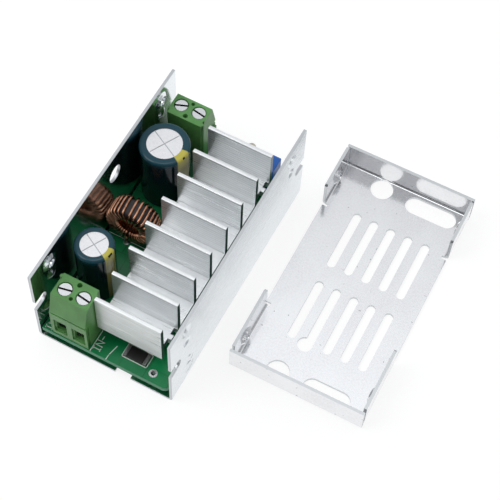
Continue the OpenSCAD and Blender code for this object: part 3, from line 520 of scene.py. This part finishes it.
@dataclass(frozen=True)
class ScoredCan:
    """Drawn aluminium can of a capacitor: satin top, scored with a cross that lets it vent. The
    score shows as a line a little darker than the top. Sizes are in millimetres, the turn of the
    cross in degrees."""

    name: str
    centre: Point
    turn: float
    reach: float
    colour: str = "#f4f4f6"
    dull: str = "#eaeaed"
    groove: str = "#aeb0b4"
    groove_half: float = 0.06
    groove_fade: float = 0.1

    def material(self) -> bpy.types.Material:
        """Build the finish and return it."""
        g = Ground.start(self.name)
        place = put(g.tree, "ShaderNodeMapping", {
            "Vector": (g.coords, "Object"), "Location": (-self.centre[0] * MM, -self.centre[1] * MM, 0.0)})
        spun = put(g.tree, "ShaderNodeMapping", {
            "Vector": place, "Rotation": (0.0, 0.0, math.radians(-self.turn))})
        axes = put(g.tree, "ShaderNodeSeparateXYZ", {0: spun})
        # distance to the nearer of the two lines through the middle, as far as they reach
        u = put(g.tree, "ShaderNodeMath", {0: (axes, "X")}, operation="ABSOLUTE")
        v = put(g.tree, "ShaderNodeMath", {0: (axes, "Y")}, operation="ABSOLUTE")
        near = put(g.tree, "ShaderNodeMath", {0: u, 1: v}, operation="MINIMUM")
        far = put(g.tree, "ShaderNodeMath", {0: u, 1: v}, operation="MAXIMUM")
        line = put(g.tree, "ShaderNodeMapRange", {
            "Value": near, "From Min": self.groove_half * MM,
            "From Max": (self.groove_half + self.groove_fade) * MM, "To Min": 1.0, "To Max": 0.0})
        within = put(g.tree, "ShaderNodeMath", {0: far, 1: self.reach * MM}, operation="LESS_THAN")
        score = put(g.tree, "ShaderNodeMath", {0: line, 1: within}, operation="MULTIPLY")
        fine = g.noise((0.6, 0.6, 0.6), detail=3.0, seed=0.2)
        tone = put(g.tree, "ShaderNodeMapRange", {"Value": fine, "From Min": 0.35, "From Max": 0.7})
        skin = put(g.tree, "ShaderNodeMix", {
            FACTOR: tone, FIRST: linear(self.colour), SECOND: linear(self.dull)}, data_type="RGBA")
        colour = put(g.tree, "ShaderNodeMix", {
            FACTOR: score, FIRST: (skin, RESULT), SECOND: linear(self.groove)}, data_type="RGBA")
        rough = put(g.tree, "ShaderNodeMapRange", {"Value": fine, "From Min": 0.3, "From Max": 0.7,
                                                   "To Min": 0.26, "To Max": 0.36})
        return g.wire({"Base Color": (colour, RESULT), "Metallic": 1.0, "Roughness": rough})


@dataclass(frozen=True)
class EnamelledCopper:
    """Copper wire under clear enamel: warm metal with a glossy skin, darker where the enamel is
    thick."""

    name: str
    colour: str
    dark: str

    def material(self) -> bpy.types.Material:
        """Build the finish and return it."""
        g = Ground.start(self.name)
        blotch = g.noise((1.6, 1.6, 1.6), detail=3.0, seed=0.6)
        tone = put(g.tree, "ShaderNodeMapRange", {"Value": blotch, "From Min": 0.35, "From Max": 0.7})
        colour = put(g.tree, "ShaderNodeMix", {
            FACTOR: tone, FIRST: linear(self.colour), SECOND: linear(self.dark)}, data_type="RGBA")
        return g.wire({"Base Color": (colour, RESULT), "Metallic": 0.95, "Roughness": 0.13,
                       "Coat Weight": 1.0, "Coat Roughness": 0.08})


@dataclass(frozen=True)
class DullBody:
    """Dull fired or pressed body, such as resin, ceramic, powder iron or rubber: matt with a
    fine speckle of the size of the grain in millimetres."""

    name: str
    colour: str
    speck: str
    roughness: float
    grain: float

    def material(self) -> bpy.types.Material:
        """Build the finish and return it."""
        g = Ground.start(self.name)
        speckle = g.noise((self.grain, self.grain, self.grain), detail=3.0, seed=0.4)
        tone = put(g.tree, "ShaderNodeMapRange", {"Value": speckle, "From Min": 0.45, "From Max": 0.75})
        colour = put(g.tree, "ShaderNodeMix", {
            FACTOR: tone, FIRST: linear(self.colour), SECOND: linear(self.speck)}, data_type="RGBA")
        bump = put(g.tree, "ShaderNodeBump", {"Height": speckle, "Strength": 0.4, "Distance": 0.03 * MM})
        return g.wire({"Base Color": (colour, RESULT), "Roughness": self.roughness, "Normal": bump})


CASE_SHEET = RolledSheet("aluminium_sheet_rolled_bright", "#ebf0f3", "#e2e7ea", outer_rough=0.26,
                         inner_rough=0.15, inner_half=18.6, marks=0.15, sheared="#c6c9cc")
COVER_SHEET = RolledSheet("aluminium_sheet_rolled_handled", "#eff0f2", "#e6e6e9", outer_rough=0.16,
                          inner_rough=0.16, inner_half=1.0, marks=0.3, sheared="#d0d3d5")
# the comb's valley colour is painted shade and its end colour a painted dark reflection
SINK_METAL = DrawnAluminium("aluminium_drawn_ridged", "#f7f9fa", "#eef0f2", valley_shade="#c8ccce",
                            sawn="#63686b", roughness=0.31, ridge=0.95)
BOARD_COAT = SolderMask("glass_fibre_board_green_mask", copper="#0d804a", bare="#0a6e40",
                        deep="#075330", edge="#4f9370")
TERMINAL_PLASTIC = MouldedPlastic("polyamide_moulded_green", "#609c56", "#528a48", 0.42, glow=0.15)
SPACER_PLASTIC = MouldedPlastic("nylon_moulded_natural", "#e4e2d6", "#d6d3c4", 0.5, glow=0.2)
TRIMMER_PLASTIC = MouldedPlastic("polyester_moulded_blue", "#0e66c2", "#0b56a9", 0.4)
PLATED_STEEL = SpunMetal("steel_nickel_plated", "#e6e8ea", "#dcdee0", 0.26, grain=0.5)
TINNED = SpunMetal("tin_solder_bright", "#cfd0cf", "#aeb0b0", 0.3, grain=0.4)
DULL_TIN = SpunMetal("tin_solder_dull", "#9a9c9b", "#626463", 0.42, grain=0.4)
PALE_BRASS = SpunMetal("brass_tinned_pale", "#d6d1c2", "#bdb7a4", 0.28, grain=0.4)
COPPER = EnamelledCopper("copper_wire_enamelled", "#e0a582", "#9c6243")
CORE = DullBody("powder_iron_core_coated", "#322e30", "#4a4548", 0.6, grain=0.3)
RESIN = DullBody("epoxy_package_black", "#17181a", "#232528", 0.55, grain=0.15)
GLAZE = DullBody("resistor_glaze_black", "#0f0d0d", "#1c1817", 0.4, grain=0.2)
CERAMIC = DullBody("ceramic_fired_tan", "#a8835c", "#8f6c48", 0.45, grain=0.2)
RUBBER = DullBody("butyl_rubber_black", "#121212", "#1d1d1d", 0.8, grain=0.25)
SILICONE = DullBody("silicone_pad_grey", "#8d929b", "#a0a5ad", 0.75, grain=0.4)
SILK = DullBody("epoxy_ink_white", "#e6ebe4", "#cfd6cd", 0.55, grain=0.25)


def grid_mesh(name: str, rows: np.ndarray, closed: bool) -> bpy.types.Mesh:
    """Make a mesh from a grid of points.

    Args:
        name: mesh name.
        rows: points in metres, shaped (u, v, 3); u runs along the path and v round it.
        closed: join the last point of each row to its first, and cap both ends with one face each.

    Returns:
        The smooth shaded mesh.
    """
    nu, nv = rows.shape[:2]
    a, b = np.meshgrid(np.arange(nu - 1), np.arange(nv if closed else nv - 1), indexing="ij")
    b1 = (b + 1) % nv
    quads = np.stack([a * nv + b, (a + 1) * nv + b, (a + 1) * nv + b1, a * nv + b1], -1)
    faces = quads.reshape(-1, 4).tolist()
    if closed:
        faces += [list(range(nv)), list(range(nu * nv - 1, (nu - 1) * nv - 1, -1))]
    mesh = bpy.data.meshes.new(name)
    mesh.from_pydata(rows.reshape(-1, 3).tolist(), [], faces)
    smooth(mesh)
    mesh.update()
    return mesh


def smooth(mesh: bpy.types.Mesh) -> None:
    """Shade all faces smooth."""
    mesh.polygons.foreach_set("use_smooth", np.ones(len(mesh.polygons), dtype=bool))


def outward(mesh: bpy.types.Mesh) -> None:
    """Turn all faces of a closed mesh outwards."""
    work = bmesh.new()
    work.from_mesh(mesh)
    bmesh.ops.recalc_face_normals(work, faces=work.faces)
    work.to_mesh(mesh)
    work.free()


def add_piece(name: str, mesh: bpy.types.Mesh, material: bpy.types.Material,
              body: str = "module") -> bpy.types.Object:
    """Put a finished mesh into the scene as a piece of the object.

    Args:
        name: piece name.
        mesh: mesh in metres in the shared frame.
        material: finish.
        body: CAD body that it rides on.

    Returns:
        The new object.
    """
    obj = bpy.data.objects.new(name, mesh)
    bpy.context.scene.collection.objects.link(obj)
    mesh.materials.clear()
    mesh.materials.append(material)
    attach(obj, body)
    LOG.info("piece %s on %s: %d faces", name, body, len(mesh.polygons))
    return obj


def dress(node: str, material: bpy.types.Material) -> None:
    """Give a CAD node that keeps its own mesh a finish."""
    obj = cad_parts[node]
    obj.data.materials.clear()
    obj.data.materials.append(material)
    LOG.info("finish %s on %s", material.name, node)


def mark_sheared(mesh: bpy.types.Mesh, sheet: float) -> None:
    """Write the face attribute "sheared", 1 on the cut edges of a folded sheet.

    A face counts as a cut edge if it is no wider than the sheet (twice its area over its outline),
    has two sharp sides or more, where it and its neighbour stand more than 60 degrees apart, and
    no smooth side longer than the sheet is thick.

    Args:
        mesh: mesh of the sheet in metres.
        sheet: sheet thickness in millimetres.
    """
    faces, loops, edges = len(mesh.polygons), len(mesh.loops), len(mesh.edges)
    normals, area, total = np.empty(3 * faces), np.empty(faces), np.empty(faces, dtype=np.int32)
    side, ends = np.empty(loops, dtype=np.int32), np.empty(2 * edges, dtype=np.int32)
    points = np.empty(3 * len(mesh.vertices))
    mesh.polygons.foreach_get("normal", normals)
    mesh.polygons.foreach_get("area", area)
    mesh.polygons.foreach_get("loop_total", total)
    mesh.loops.foreach_get("edge_index", side)
    mesh.edges.foreach_get("vertices", ends)
    mesh.vertices.foreach_get("co", points)
    owner = np.repeat(np.arange(faces), total)
    spread = np.diff(points.reshape(-1, 3)[ends.reshape(-1, 2)], axis=1)[:, 0]
    length = np.linalg.norm(spread, axis=1)[side]
    both = np.zeros((edges, 3))
    np.add.at(both, side, normals.reshape(-1, 3)[owner])
    sharp = (np.sum(both ** 2, axis=1) < SHARP_SUM)[side]
    width = 2 * area / np.bincount(owner, length, faces)
    longest = np.zeros(faces)
    np.maximum.at(longest, owner, np.where(sharp, 0.0, length))
    limit = CUT_SLACK * sheet * MM
    cut = (width < limit) & (np.bincount(owner, sharp, faces) >= 2) & (longest < limit)
    mesh.attributes.new("sheared", "FLOAT", "FACE").data.foreach_set("value", cut.astype(np.float32))


def ease(node: str, material: bpy.types.Material, width: float, body: str = "module",
         sheet: Optional[float] = None) -> None:
    """Stand in for a CAD node with a copy whose edges are eased, as on the real folded, sawn or
    moulded piece.

    Args:
        node: CAD node.
        material: finish.
        width: width of the eased edge in millimetres.
        body: CAD body of the node.
        sheet: thickness of a folded sheet in millimetres, whose cut edges are marked.
    """
    work = bmesh.new()
    work.from_mesh(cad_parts[node].data)
    bmesh.ops.remove_doubles(work, verts=work.verts, dist=MERGE_NEAR)
    bmesh.ops.dissolve_limit(work, angle_limit=math.radians(FLAT_ANGLE), verts=work.verts, edges=work.edges)
    mesh = bpy.data.meshes.new(f"{node}_eased")
    work.to_mesh(mesh)
    work.free()
    smooth(mesh)
    if sheet is not None:
        mark_sheared(mesh, sheet)
    obj = add_piece(f"{node}_eased", mesh, material, body)
    bevel = obj.modifiers.new("eased_edges", "BEVEL")
    bevel.width = width * MM
    bevel.segments = EDGE_STEPS
    bevel.limit_method = "ANGLE"
    bevel.angle_limit = math.radians(EDGE_ANGLE)
    bevel.use_clamp_overlap = True
    # flats shade flat and only the eased edges turn the light
    weighted = obj.modifiers.new("flat_faces", "WEIGHTED_NORMAL")
    weighted.mode = "FACE_AREA"
    weighted.weight = 100
    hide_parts(node)


@dataclass
class Enclosure:
    """Folded case and its cover."""

    edge: float = 0.09
    sheet: float = 0.8

    def build(self) -> None:
        """Ease and finish the two folded sheets."""
        ease("case_base", CASE_SHEET.material(), self.edge, sheet=self.sheet)
        ease("top_cover", COVER_SHEET.material(), self.edge, sheet=self.sheet)


@dataclass
class Board:
    """Circuit board with its printing, solder and small parts. Sizes and places are in
    millimetres. A printed line is given by its corners, and a polarity mark by the foot of its
    first letter."""

    edge: float = 0.06
    resistor_edge: float = 0.1
    line: float = 0.22
    ink: float = 0.03
    terminal_line: tuple[Point, ...] = ((-4.25, -33.6), (-4.25, -27.6))
    front_line: tuple[Point, ...] = ((0.3, -33.78), (0.36, -32.4), (1.0, -29.5))
    coil_line: tuple[Point, ...] = ((-17.2, -2.6), (-5.3, -2.6))
    resistor_low: Point = (3.2, -31.1)
    resistor_high: Point = (10.1, -27.5)
    minus_at: Point = (-2.09, -32.4)
    plus_at: Point = (-15.3, -33.0)
    letter_tall: float = 1.9
    letter_wide: float = 1.25
    letter_step: float = 0.95
    serif: float = 0.35
    sign_gap: float = 0.5
    sign_long: float = 0.95
    sign_half: float = 0.48
    heap_at: Point = (-11.9, -2.96)
    heap_radius: float = 0.95
    heap_tall: float = 0.9
    heap_foot: float = 0.02
    heap_tip: float = 0.02
    heap_rows: int = 12
    heap_sides: int = 24

    def __post_init__(self) -> None:
        """Take the height of the board's top from the frame."""
        self.top: float = box_mm("circuit_board")[1][2]

    def letters(self, foot: Point, sign: Polarity) -> list[tuple[Point, ...]]:
        """Lines of one polarity mark, which runs along +Y with its top towards -X.

        Args:
            foot: foot of the first letter.
            sign: sign after the letters.

        Returns:
            The lines of both letters and the sign, each given by its corners.
        """
        x, y = foot
        top, mid = x - self.letter_tall, x - self.letter_tall / 2
        left = y + self.letter_step
        right = left + self.letter_wide
        start = right + self.sign_gap
        lines = [((x, y), (top, y)),
                 ((x, y - self.serif), (x, y + self.serif)),
                 ((top, y - self.serif), (top, y + self.serif)),
                 ((x, left), (top, left), (x, right), (top, right)),
                 ((mid, start), (mid, start + self.sign_long))]
        if sign is Polarity.PLUS:
            cross = start + self.sign_half
            lines.append(((mid - self.sign_half, cross), (mid + self.sign_half, cross)))
        return lines

    def strokes(self) -> np.ndarray:
        """Straight strokes of the board printing.

        Returns:
            Array (n, 2, 2) of stroke ends in millimetres.
        """
        (x0, y0), (x1, y1) = self.resistor_low, self.resistor_high
        lines = [self.terminal_line, self.front_line, self.coil_line,
                 ((x0, y0), (x1, y0)), ((x0, y1), (x1, y1)), ((x0, y0), (x0, y1)), ((x1, y0), (x1, y1)),
                 *self.letters(self.minus_at, Polarity.MINUS), *self.letters(self.plus_at, Polarity.PLUS)]
        return np.array([pair for line in lines for pair in zip(line, line[1:])])

    def printing(self) -> None:
        """Lay each stroke as a flat bar: its ends pushed out by half the line width, the bar's four
        corners at plus and minus half the width across the stroke, on two heights."""
        ends = self.strokes()
        along = ends[:, 1] - ends[:, 0]
        along /= np.linalg.norm(along, axis=1, keepdims=True)
        across = np.stack([-along[:, 1], along[:, 0]], 1) * self.line / 2
        reach = along * self.line / 2
        corners = np.stack([ends[:, 0] - reach - across, ends[:, 1] + reach - across,
                            ends[:, 1] + reach + across, ends[:, 0] - reach + across], 1)
        low = np.concatenate([corners, np.full(corners.shape[:2] + (1,), self.top)], -1)
        high = low + np.array([0.0, 0.0, self.ink])
        points = np.concatenate([low, high], 1).reshape(-1, 3) * MM
        block = np.array([[0, 3, 2, 1], [4, 5, 6, 7], [0, 1, 5, 4], [1, 2, 6, 5], [2, 3, 7, 6], [3, 0, 4, 7]])
        faces = (block[None] + 8 * np.arange(len(ends))[:, None, None]).reshape(-1, 4)
        mesh = bpy.data.meshes.new("board_printing")
        mesh.from_pydata(points.tolist(), [], faces.tolist())
        mesh.update()
        add_piece("board_printing", mesh, SILK.material())

    def solder(self, metal: bpy.types.Material) -> None:
        """Heap the solder round the coil's front lead: a bell, its height times (1 + cos(pi t)) / 2
        at the share t of its radius, from a small flat tip to a foot a little below the board's top.

        Args:
            metal: finish.
        """
        x, y = self.heap_at
        t = np.linspace(self.heap_tip, 1.0, self.heap_rows)[:, None]
        a = np.linspace(0, 2 * np.pi, self.heap_sides, endpoint=False)[None]
        z = self.top + self.heap_tall * (1 + np.cos(np.pi * t)) / 2 + 0 * a
        r = self.heap_radius * t
        rows = np.stack([x + r * np.cos(a), y + r * np.sin(a), z], -1)
        foot = rows[-1:].copy()
        foot[..., 2] = self.top - self.heap_foot
        mesh = grid_mesh("coil_solder_front", np.concatenate([rows, foot]) * MM, True)
        outward(mesh)
        add_piece("coil_solder_front", mesh, metal)

    def build(self) -> None:
        """Finish the board, lay its printing and dress the small parts."""
        tin = TINNED.material()
        resin, glaze = RESIN.material(), GLAZE.material()
        ease("circuit_board", BOARD_COAT.material(), self.edge)
        self.printing()
        self.solder(tin)
        for node in ("mosfet", "rectifier_diode", "controller_chip"):
            dress(node, resin)
        ease("shunt_body", glaze, self.resistor_edge)
        ease("shunt_ends", DULL_TIN.material(), self.resistor_edge)
        dress("chip_resistors", glaze)
        dress("chip_capacitors", CERAMIC.material())
        for node in ("power_tabs", "controller_leads", "chip_ends", "solder_joints", "test_eyelet"):
            dress(node, tin)
        dress("thermal_pads", SILICONE.material())
        dress("spacers", SPACER_PLASTIC.material())


@dataclass
class Cooler:
    """Comb heatsink and the screws that hold it."""

    edge: float = 0.08

    def build(self) -> None:
        """Ease and finish the comb and its screws."""
        ease("heatsink", SINK_METAL.material(), self.edge)
        ease("case_screws", PLATED_STEEL.material(), self.edge)


@dataclass
class Capacitor:
    """One electrolytic capacitor. The score reaches so many millimetres from the middle, and the
    polarity band and its bar lie at these degrees round the can."""

    side: Side
    reach: float
    band_at: float
    band_half: float
    bar_half: float
    score_turn: float = 62.0

    def build(self, tin: bpy.types.Material, rubber: bpy.types.Material) -> None:
        """Finish can, film, seal and leads. Their place comes from the frame.

        Args:
            tin: finish of the leads.
            rubber: finish of the seal.
        """
        side = self.side.value
        x, y = box_mm(f"{side}_cap_can").mean(axis=0)[:2]
        top = box_mm(f"{side}_cap_sleeve")[1][2]
        film = ShrunkFilm(f"pet_film_shrunk_{side}", (x, y), top, self.band_at, self.band_half, self.bar_half)
        dress(f"{side}_cap_sleeve", film.material())
        can = ScoredCan(f"aluminium_can_scored_{side}", (x, y), self.score_turn, self.reach)
        dress(f"{side}_cap_can", can.material())
        dress(f"{side}_cap_leads", tin)
        dress(f"{side}_cap_seal", rubber)


@dataclass
class Coil:
    """Ring core standing on edge with its copper winding. Sizes are in millimetres, and the
    pitch, the start and the gap are angles round the ring in degrees."""

    core_id: float = 7.2
    wire: float = 0.65
    clear: float = 0.08
    turns: float = 29.4
    pitch: float = 12.0
    start: float = -97.0
    gap: float = 6.5
    gap_at: float = 189.5
    gap_blend: float = 18.0
    squareness: float = 5.0
    lead_out: Point = (-13.8, 2.955)
    lead_bend: float = 0.6
    lead_points: int = 8
    sides: int = 12
    steps: int = 40

    def __post_init__(self) -> None:
        """Take the core's place and size, and how far the leads reach down, from the frame."""
        low, high = box_mm("inductor_core")
        self.centre: np.ndarray = (low + high) / 2
        core_od, core_t, _ = high - low
        self.lead_low: float = box_mm("inductor_winding")[0][2]
        self.middle: float = (core_od + self.core_id) / 4
        self.half_wide: float = (core_od - self.core_id) / 4 + self.wire / 2 + self.clear
        self.half_deep: float = core_t / 2 + self.wire / 2 + self.clear

    def path(self) -> np.ndarray:
        """Wire's centre line: round the ring's section on a squared oval, on which the powers of
        both shares of the half axes add up to one, while the ring angle advances by pitch per turn,
        with one smooth wider gap, and a straight lead at each end down to its hole in the board.

        Returns:
            Points in millimetres, shaped (n, 3).
        """
        i = np.linspace(0.0, 1.0, int(self.steps * self.turns) + 1)
        span = self.pitch * self.turns
        s = np.clip((span * i - self.gap_at) / self.gap_blend + 0.5, 0, 1)
        ring = np.radians(self.start + span * i + self.gap * s * s * (3 - 2 * s))
        around = np.radians(-90 + 360 * self.turns * i)
        power = self.squareness
        bulge = (np.abs(np.cos(around)) ** power + np.abs(np.sin(around)) ** power) ** (-1 / power)
        r = self.middle + self.half_wide * bulge * np.cos(around)
        x, y, z = self.centre
        turns = np.stack([x + r * np.cos(ring), y + self.half_deep * bulge * np.sin(around),
                          z + r * np.sin(ring)], 1)
        t = np.linspace(0, 1, self.lead_points, endpoint=False)[:, None]
        first, last = turns[0], turns[-1]
        bend = np.array([0.0, 0.0, self.lead_bend])
        down_in = np.array([first[0], first[1], self.lead_low])
        down_out = np.array([*self.lead_out, self.lead_low])
        lead_in = down_in + (first - bend - down_in) * t
        lead_out = (down_out + (last - bend - down_out) * t)[::-1]
        return np.concatenate([lead_in, turns, lead_out])

    def winding(self) -> None:
        """Carry a circle of the wire's diameter along its path, kept square to it by the outward
        direction from the ring's section, and along a lead by the direction across the ring."""
        p = self.path()
        d = np.gradient(p, axis=0)
        d /= np.linalg.norm(d, axis=1, keepdims=True)
        x, y, z = self.centre
        q = np.arctan2(p[:, 2] - z, p[:, 0] - x)
        out = p - np.stack([x + self.middle * np.cos(q), np.full_like(q, y), z + self.middle * np.sin(q)], 1)
        ends = np.r_[0:self.lead_points, len(p) - self.lead_points:len(p)]
        out[ends] = np.stack([0 * p[ends, 0], p[ends, 1] - y, 0 * p[ends, 0]], 1)
        out -= d * np.sum(out * d, 1, keepdims=True)
        out /= np.linalg.norm(out, axis=1, keepdims=True)
        side = np.cross(d, out)
        a = np.linspace(0, 2 * np.pi, self.sides, endpoint=False)
        ring = np.cos(a)[None, :, None] * out[:, None] + np.sin(a)[None, :, None] * side[:, None]
        mesh = grid_mesh("copper_winding", (p[:, None] + self.wire / 2 * ring) * MM, True)
        outward(mesh)
        obj = add_piece("copper_winding", mesh, COPPER.material())
        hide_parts("inductor_winding")

    def build(self) -> None:
        """Wind the wire and finish the core."""
        self.winding()
        dress("inductor_core", CORE.material())


@dataclass
class Terminal:
    """One two-pole screw terminal. Sizes are in millimetres."""

    side: Side
    edge: float = 0.12
    screw_edge: float = 0.08
    unshaded_rim: float = 0.2

    def build(self, plastic: bpy.types.Material, steel: bpy.types.Material, tin: bpy.types.Material) -> None:
        """Ease the housing and finish its metal. Below a rim at the top the screws are painted dark,
        painted shade in their slots.

        Args:
            plastic: finish of the housing.
            steel: finish of the cages.
            tin: finish of the contacts.
        """
        side = self.side.value
        ease(f"{side}_terminal", plastic, self.edge)
        # painted shade: each screw is painted dark below a rim at its top, in its slot
        slotted = PLATED_STEEL.material(box_mm(f"{side}_screw_1")[1][2] - self.unshaded_rim)
        for k in (1, 2):
            ease(f"{side}_screw_{k}", slotted, self.screw_edge, body=f"{side}_screw_{k}_body")
            dress(f"{side}_cage_{k}", steel)
        dress(f"{side}_contacts", tin)


@dataclass
class Trimmer:
    """Multi-turn trimmer."""

    edge: float = 0.15
    screw_edge: float = 0.1

    def build(self, tin: bpy.types.Material) -> None:
        """Ease the body and finish screw and pins.

        Args:
            tin: finish of the pins.
        """
        ease("trimmer_body", TRIMMER_PLASTIC.material(), self.edge)
        ease("trimmer_screw", PALE_BRASS.material(), self.screw_edge,
             body="trimmer_screw_body")
        dress("trimmer_pins", tin)


@dataclass
class Studio:
    """Camera, floor, world and lamp. The camera's angles are in degrees, its target and distance
    in millimetres and its focal length in pixels of the picture; the rest is in metres and watts."""

    azimuth: float = 25.14
    elevation: float = 60.97
    roll: float = 3.43
    target: Triple = (15.67, 12.31, 0.0)
    distance: float = 378.94
    focal: float = 1469.57
    frame_px: int = 500
    floor_half: float = 1.5
    floor_drop: float = 2e-5
    sky_lean: Triple = (-0.25, 0.5, 0.83)
    lamp_at: Triple = (-0.5, -0.35, 0.75)
    lamp_aim: Triple = (0.02, 0.0, 0.0)
    lamp_size: float = 0.6
    lamp_power: float = 2.6

    def camera(self) -> None:
        """Place the camera at the photograph's station point."""
        a, e, r = (math.radians(v) for v in (self.azimuth, self.elevation, self.roll))
        back = np.array([math.sin(a) * math.cos(e), -math.cos(a) * math.cos(e), math.sin(e)])
        right = np.array([math.cos(a), math.sin(a), 0.0])
        up = np.cross(back, right)
        across = math.cos(r) * right + math.sin(r) * up
        upward = -math.sin(r) * right + math.cos(r) * up
        data = bpy.data.cameras.new("photo_camera")
        data.sensor_fit = "HORIZONTAL"
        data.sensor_width = 36.0
        data.lens = data.sensor_width * self.focal / self.frame_px
        data.clip_start = 0.01
        data.clip_end = 20.0
        camera = bpy.data.objects.new("photo_camera", data)
        place = (np.array(self.target) + back * self.distance) * MM
        turn = Matrix((across, upward, back)).transposed().to_4x4()
        camera.matrix_world = Matrix.Translation(place) @ turn
        bpy.context.scene.collection.objects.link(camera)
        bpy.context.scene.camera = camera

    def floor(self) -> None:
        """Pale floor: white to the camera and in reflections, still taking a soft shadow."""
        t = np.linspace(-self.floor_half, self.floor_half, 3)
        x, y = np.meshgrid(t, t, indexing="ij")
        mesh = grid_mesh("studio_floor", np.stack([x, y, 0 * x - self.floor_drop], -1), False)
        material = bpy.data.materials.new("studio_paper_white")
        material.use_nodes = True
        tree = material.node_tree
        tree.nodes.clear()
        path = put(tree, "ShaderNodeLightPath")
        seen = put(tree, "ShaderNodeMath", {0: (path, "Is Camera Ray"), 1: (path, "Is Glossy Ray")},
                   operation="MAXIMUM")
        seen = put(tree, "ShaderNodeMath", {0: seen, 1: (path, "Is Transmission Ray")}, operation="MAXIMUM")
        paper = put(tree, "ShaderNodeBsdfDiffuse", {"Color": (0.8, 0.8, 0.8, 1.0)})
        pale = put(tree, "ShaderNodeBsdfDiffuse", {"Color": (0.25, 0.25, 0.25, 1.0)})
        glow = put(tree, "ShaderNodeEmission", {"Color": (1.0, 1.0, 1.0, 1.0), "Strength": 0.8})
        white = put(tree, "ShaderNodeAddShader", {0: pale, 1: glow})
        both = put(tree, "ShaderNodeMixShader", {0: seen, 1: paper, 2: white})
        put(tree, "ShaderNodeOutputMaterial", {"Surface": both})
        mesh.materials.append(material)
        obj = bpy.data.objects.new("studio_floor", mesh)
        bpy.context.scene.collection.objects.link(obj)

    def world(self) -> None:
        """White to the camera. As light, it grows towards a point high behind the object, with a
        brighter zone overhead on that side, is dark low at the front, where the camera stands, and
        has a bright patch straight above."""
        world = bpy.data.worlds.new("studio_world")
        bpy.context.scene.world = world
        world.use_nodes = True
        tree = world.node_tree
        tree.nodes.clear()
        path = put(tree, "ShaderNodeLightPath")
        way = put(tree, "ShaderNodeTexCoord")
        axes = put(tree, "ShaderNodeSeparateXYZ", {0: (way, "Generated")})
        lean = put(tree, "ShaderNodeVectorMath", {0: (way, "Generated"), 1: self.sky_lean},
                   operation="DOT_PRODUCT")
        # each zone: what it follows, where that starts and ends, and the light at both ends
        zones = {
            "level": ((lean, "Value"), 0.3, 0.95, 0.5, 0.74), "above": ((axes, "Z"), 0.815, 0.925, 0.0, 0.36),
            "behind": ((axes, "Y"), 0.0, 0.3, 0.0, 1.0), "front": ((axes, "Y"), -0.9, -0.45, 0.2, 1.0),
            "zenith": ((axes, "Z"), 0.95, 0.985, 0.0, 1.6)}
        zone = {name: put(tree, "ShaderNodeMapRange", {
            "Value": value, "From Min": start, "From Max": end, "To Min": low, "To Max": high},
            interpolation_type="SMOOTHSTEP") for name, (value, start, end, low, high) in zones.items()}
        total = put(tree, "ShaderNodeMath", {0: zone["above"], 1: zone["behind"], 2: zone["level"]},
                    operation="MULTIPLY_ADD")
        total = put(tree, "ShaderNodeMath", {0: total, 1: zone["front"], 2: zone["zenith"]},
                    operation="MULTIPLY_ADD")
        light = put(tree, "ShaderNodeBackground", {"Color": (0.97, 0.985, 1.0, 1.0), "Strength": total})
        white = put(tree, "ShaderNodeBackground", {"Color": (1.0, 1.0, 1.0, 1.0), "Strength": 1.0})
        both = put(tree, "ShaderNodeMixShader", {0: (path, "Is Camera Ray"), 1: light, 2: white})
        put(tree, "ShaderNodeOutputWorld", {"Surface": both})

    def lamp(self) -> None:
        """Hang a soft square lamp at the left, facing the object."""
        data = bpy.data.lights.new("softbox_left", "AREA")
        data.shape = "SQUARE"
        data.size = self.lamp_size
        data.energy = self.lamp_power
        lamp = bpy.data.objects.new("softbox_left", data)
        back = np.array(self.lamp_at) - np.array(self.lamp_aim)
        back /= np.linalg.norm(back)
        right = np.cross((0.0, 1.0, 0.0), back)
        right /= np.linalg.norm(right)
        up = np.cross(back, right)
        turn = Matrix((right, up, back)).transposed().to_4x4()
        lamp.matrix_world = Matrix.Translation(self.lamp_at) @ turn
        bpy.context.scene.collection.objects.link(lamp)

    def build(self) -> None:
        """Set up the whole studio."""
        bpy.context.scene.view_settings.view_transform = "Standard"
        self.camera()
        self.floor()
        self.world()
        self.lamp()


def main() -> None:
    """Build and finish everything in order."""
    logging.basicConfig(level=logging.INFO, format="%(name)s: %(message)s")
    Studio().build()
    tin, rubber, steel = TINNED.material(), RUBBER.material(), PLATED_STEEL.material()
    plastic = TERMINAL_PLASTIC.material()
    Enclosure().build()
    Board().build()
    Cooler().build()
    Capacitor(Side.INPUT, reach=3.4, band_at=-7.0, band_half=20.7, bar_half=8.0).build(tin, rubber)
    Capacitor(Side.OUTPUT, reach=4.4, band_at=-11.7, band_half=18.5, bar_half=3.0).build(tin, rubber)
    Coil().build()
    for side in Side:
        Terminal(side).build(plastic, steel, tin)
    Trimmer().build(tin)


if __name__ == "__main__":
    main()
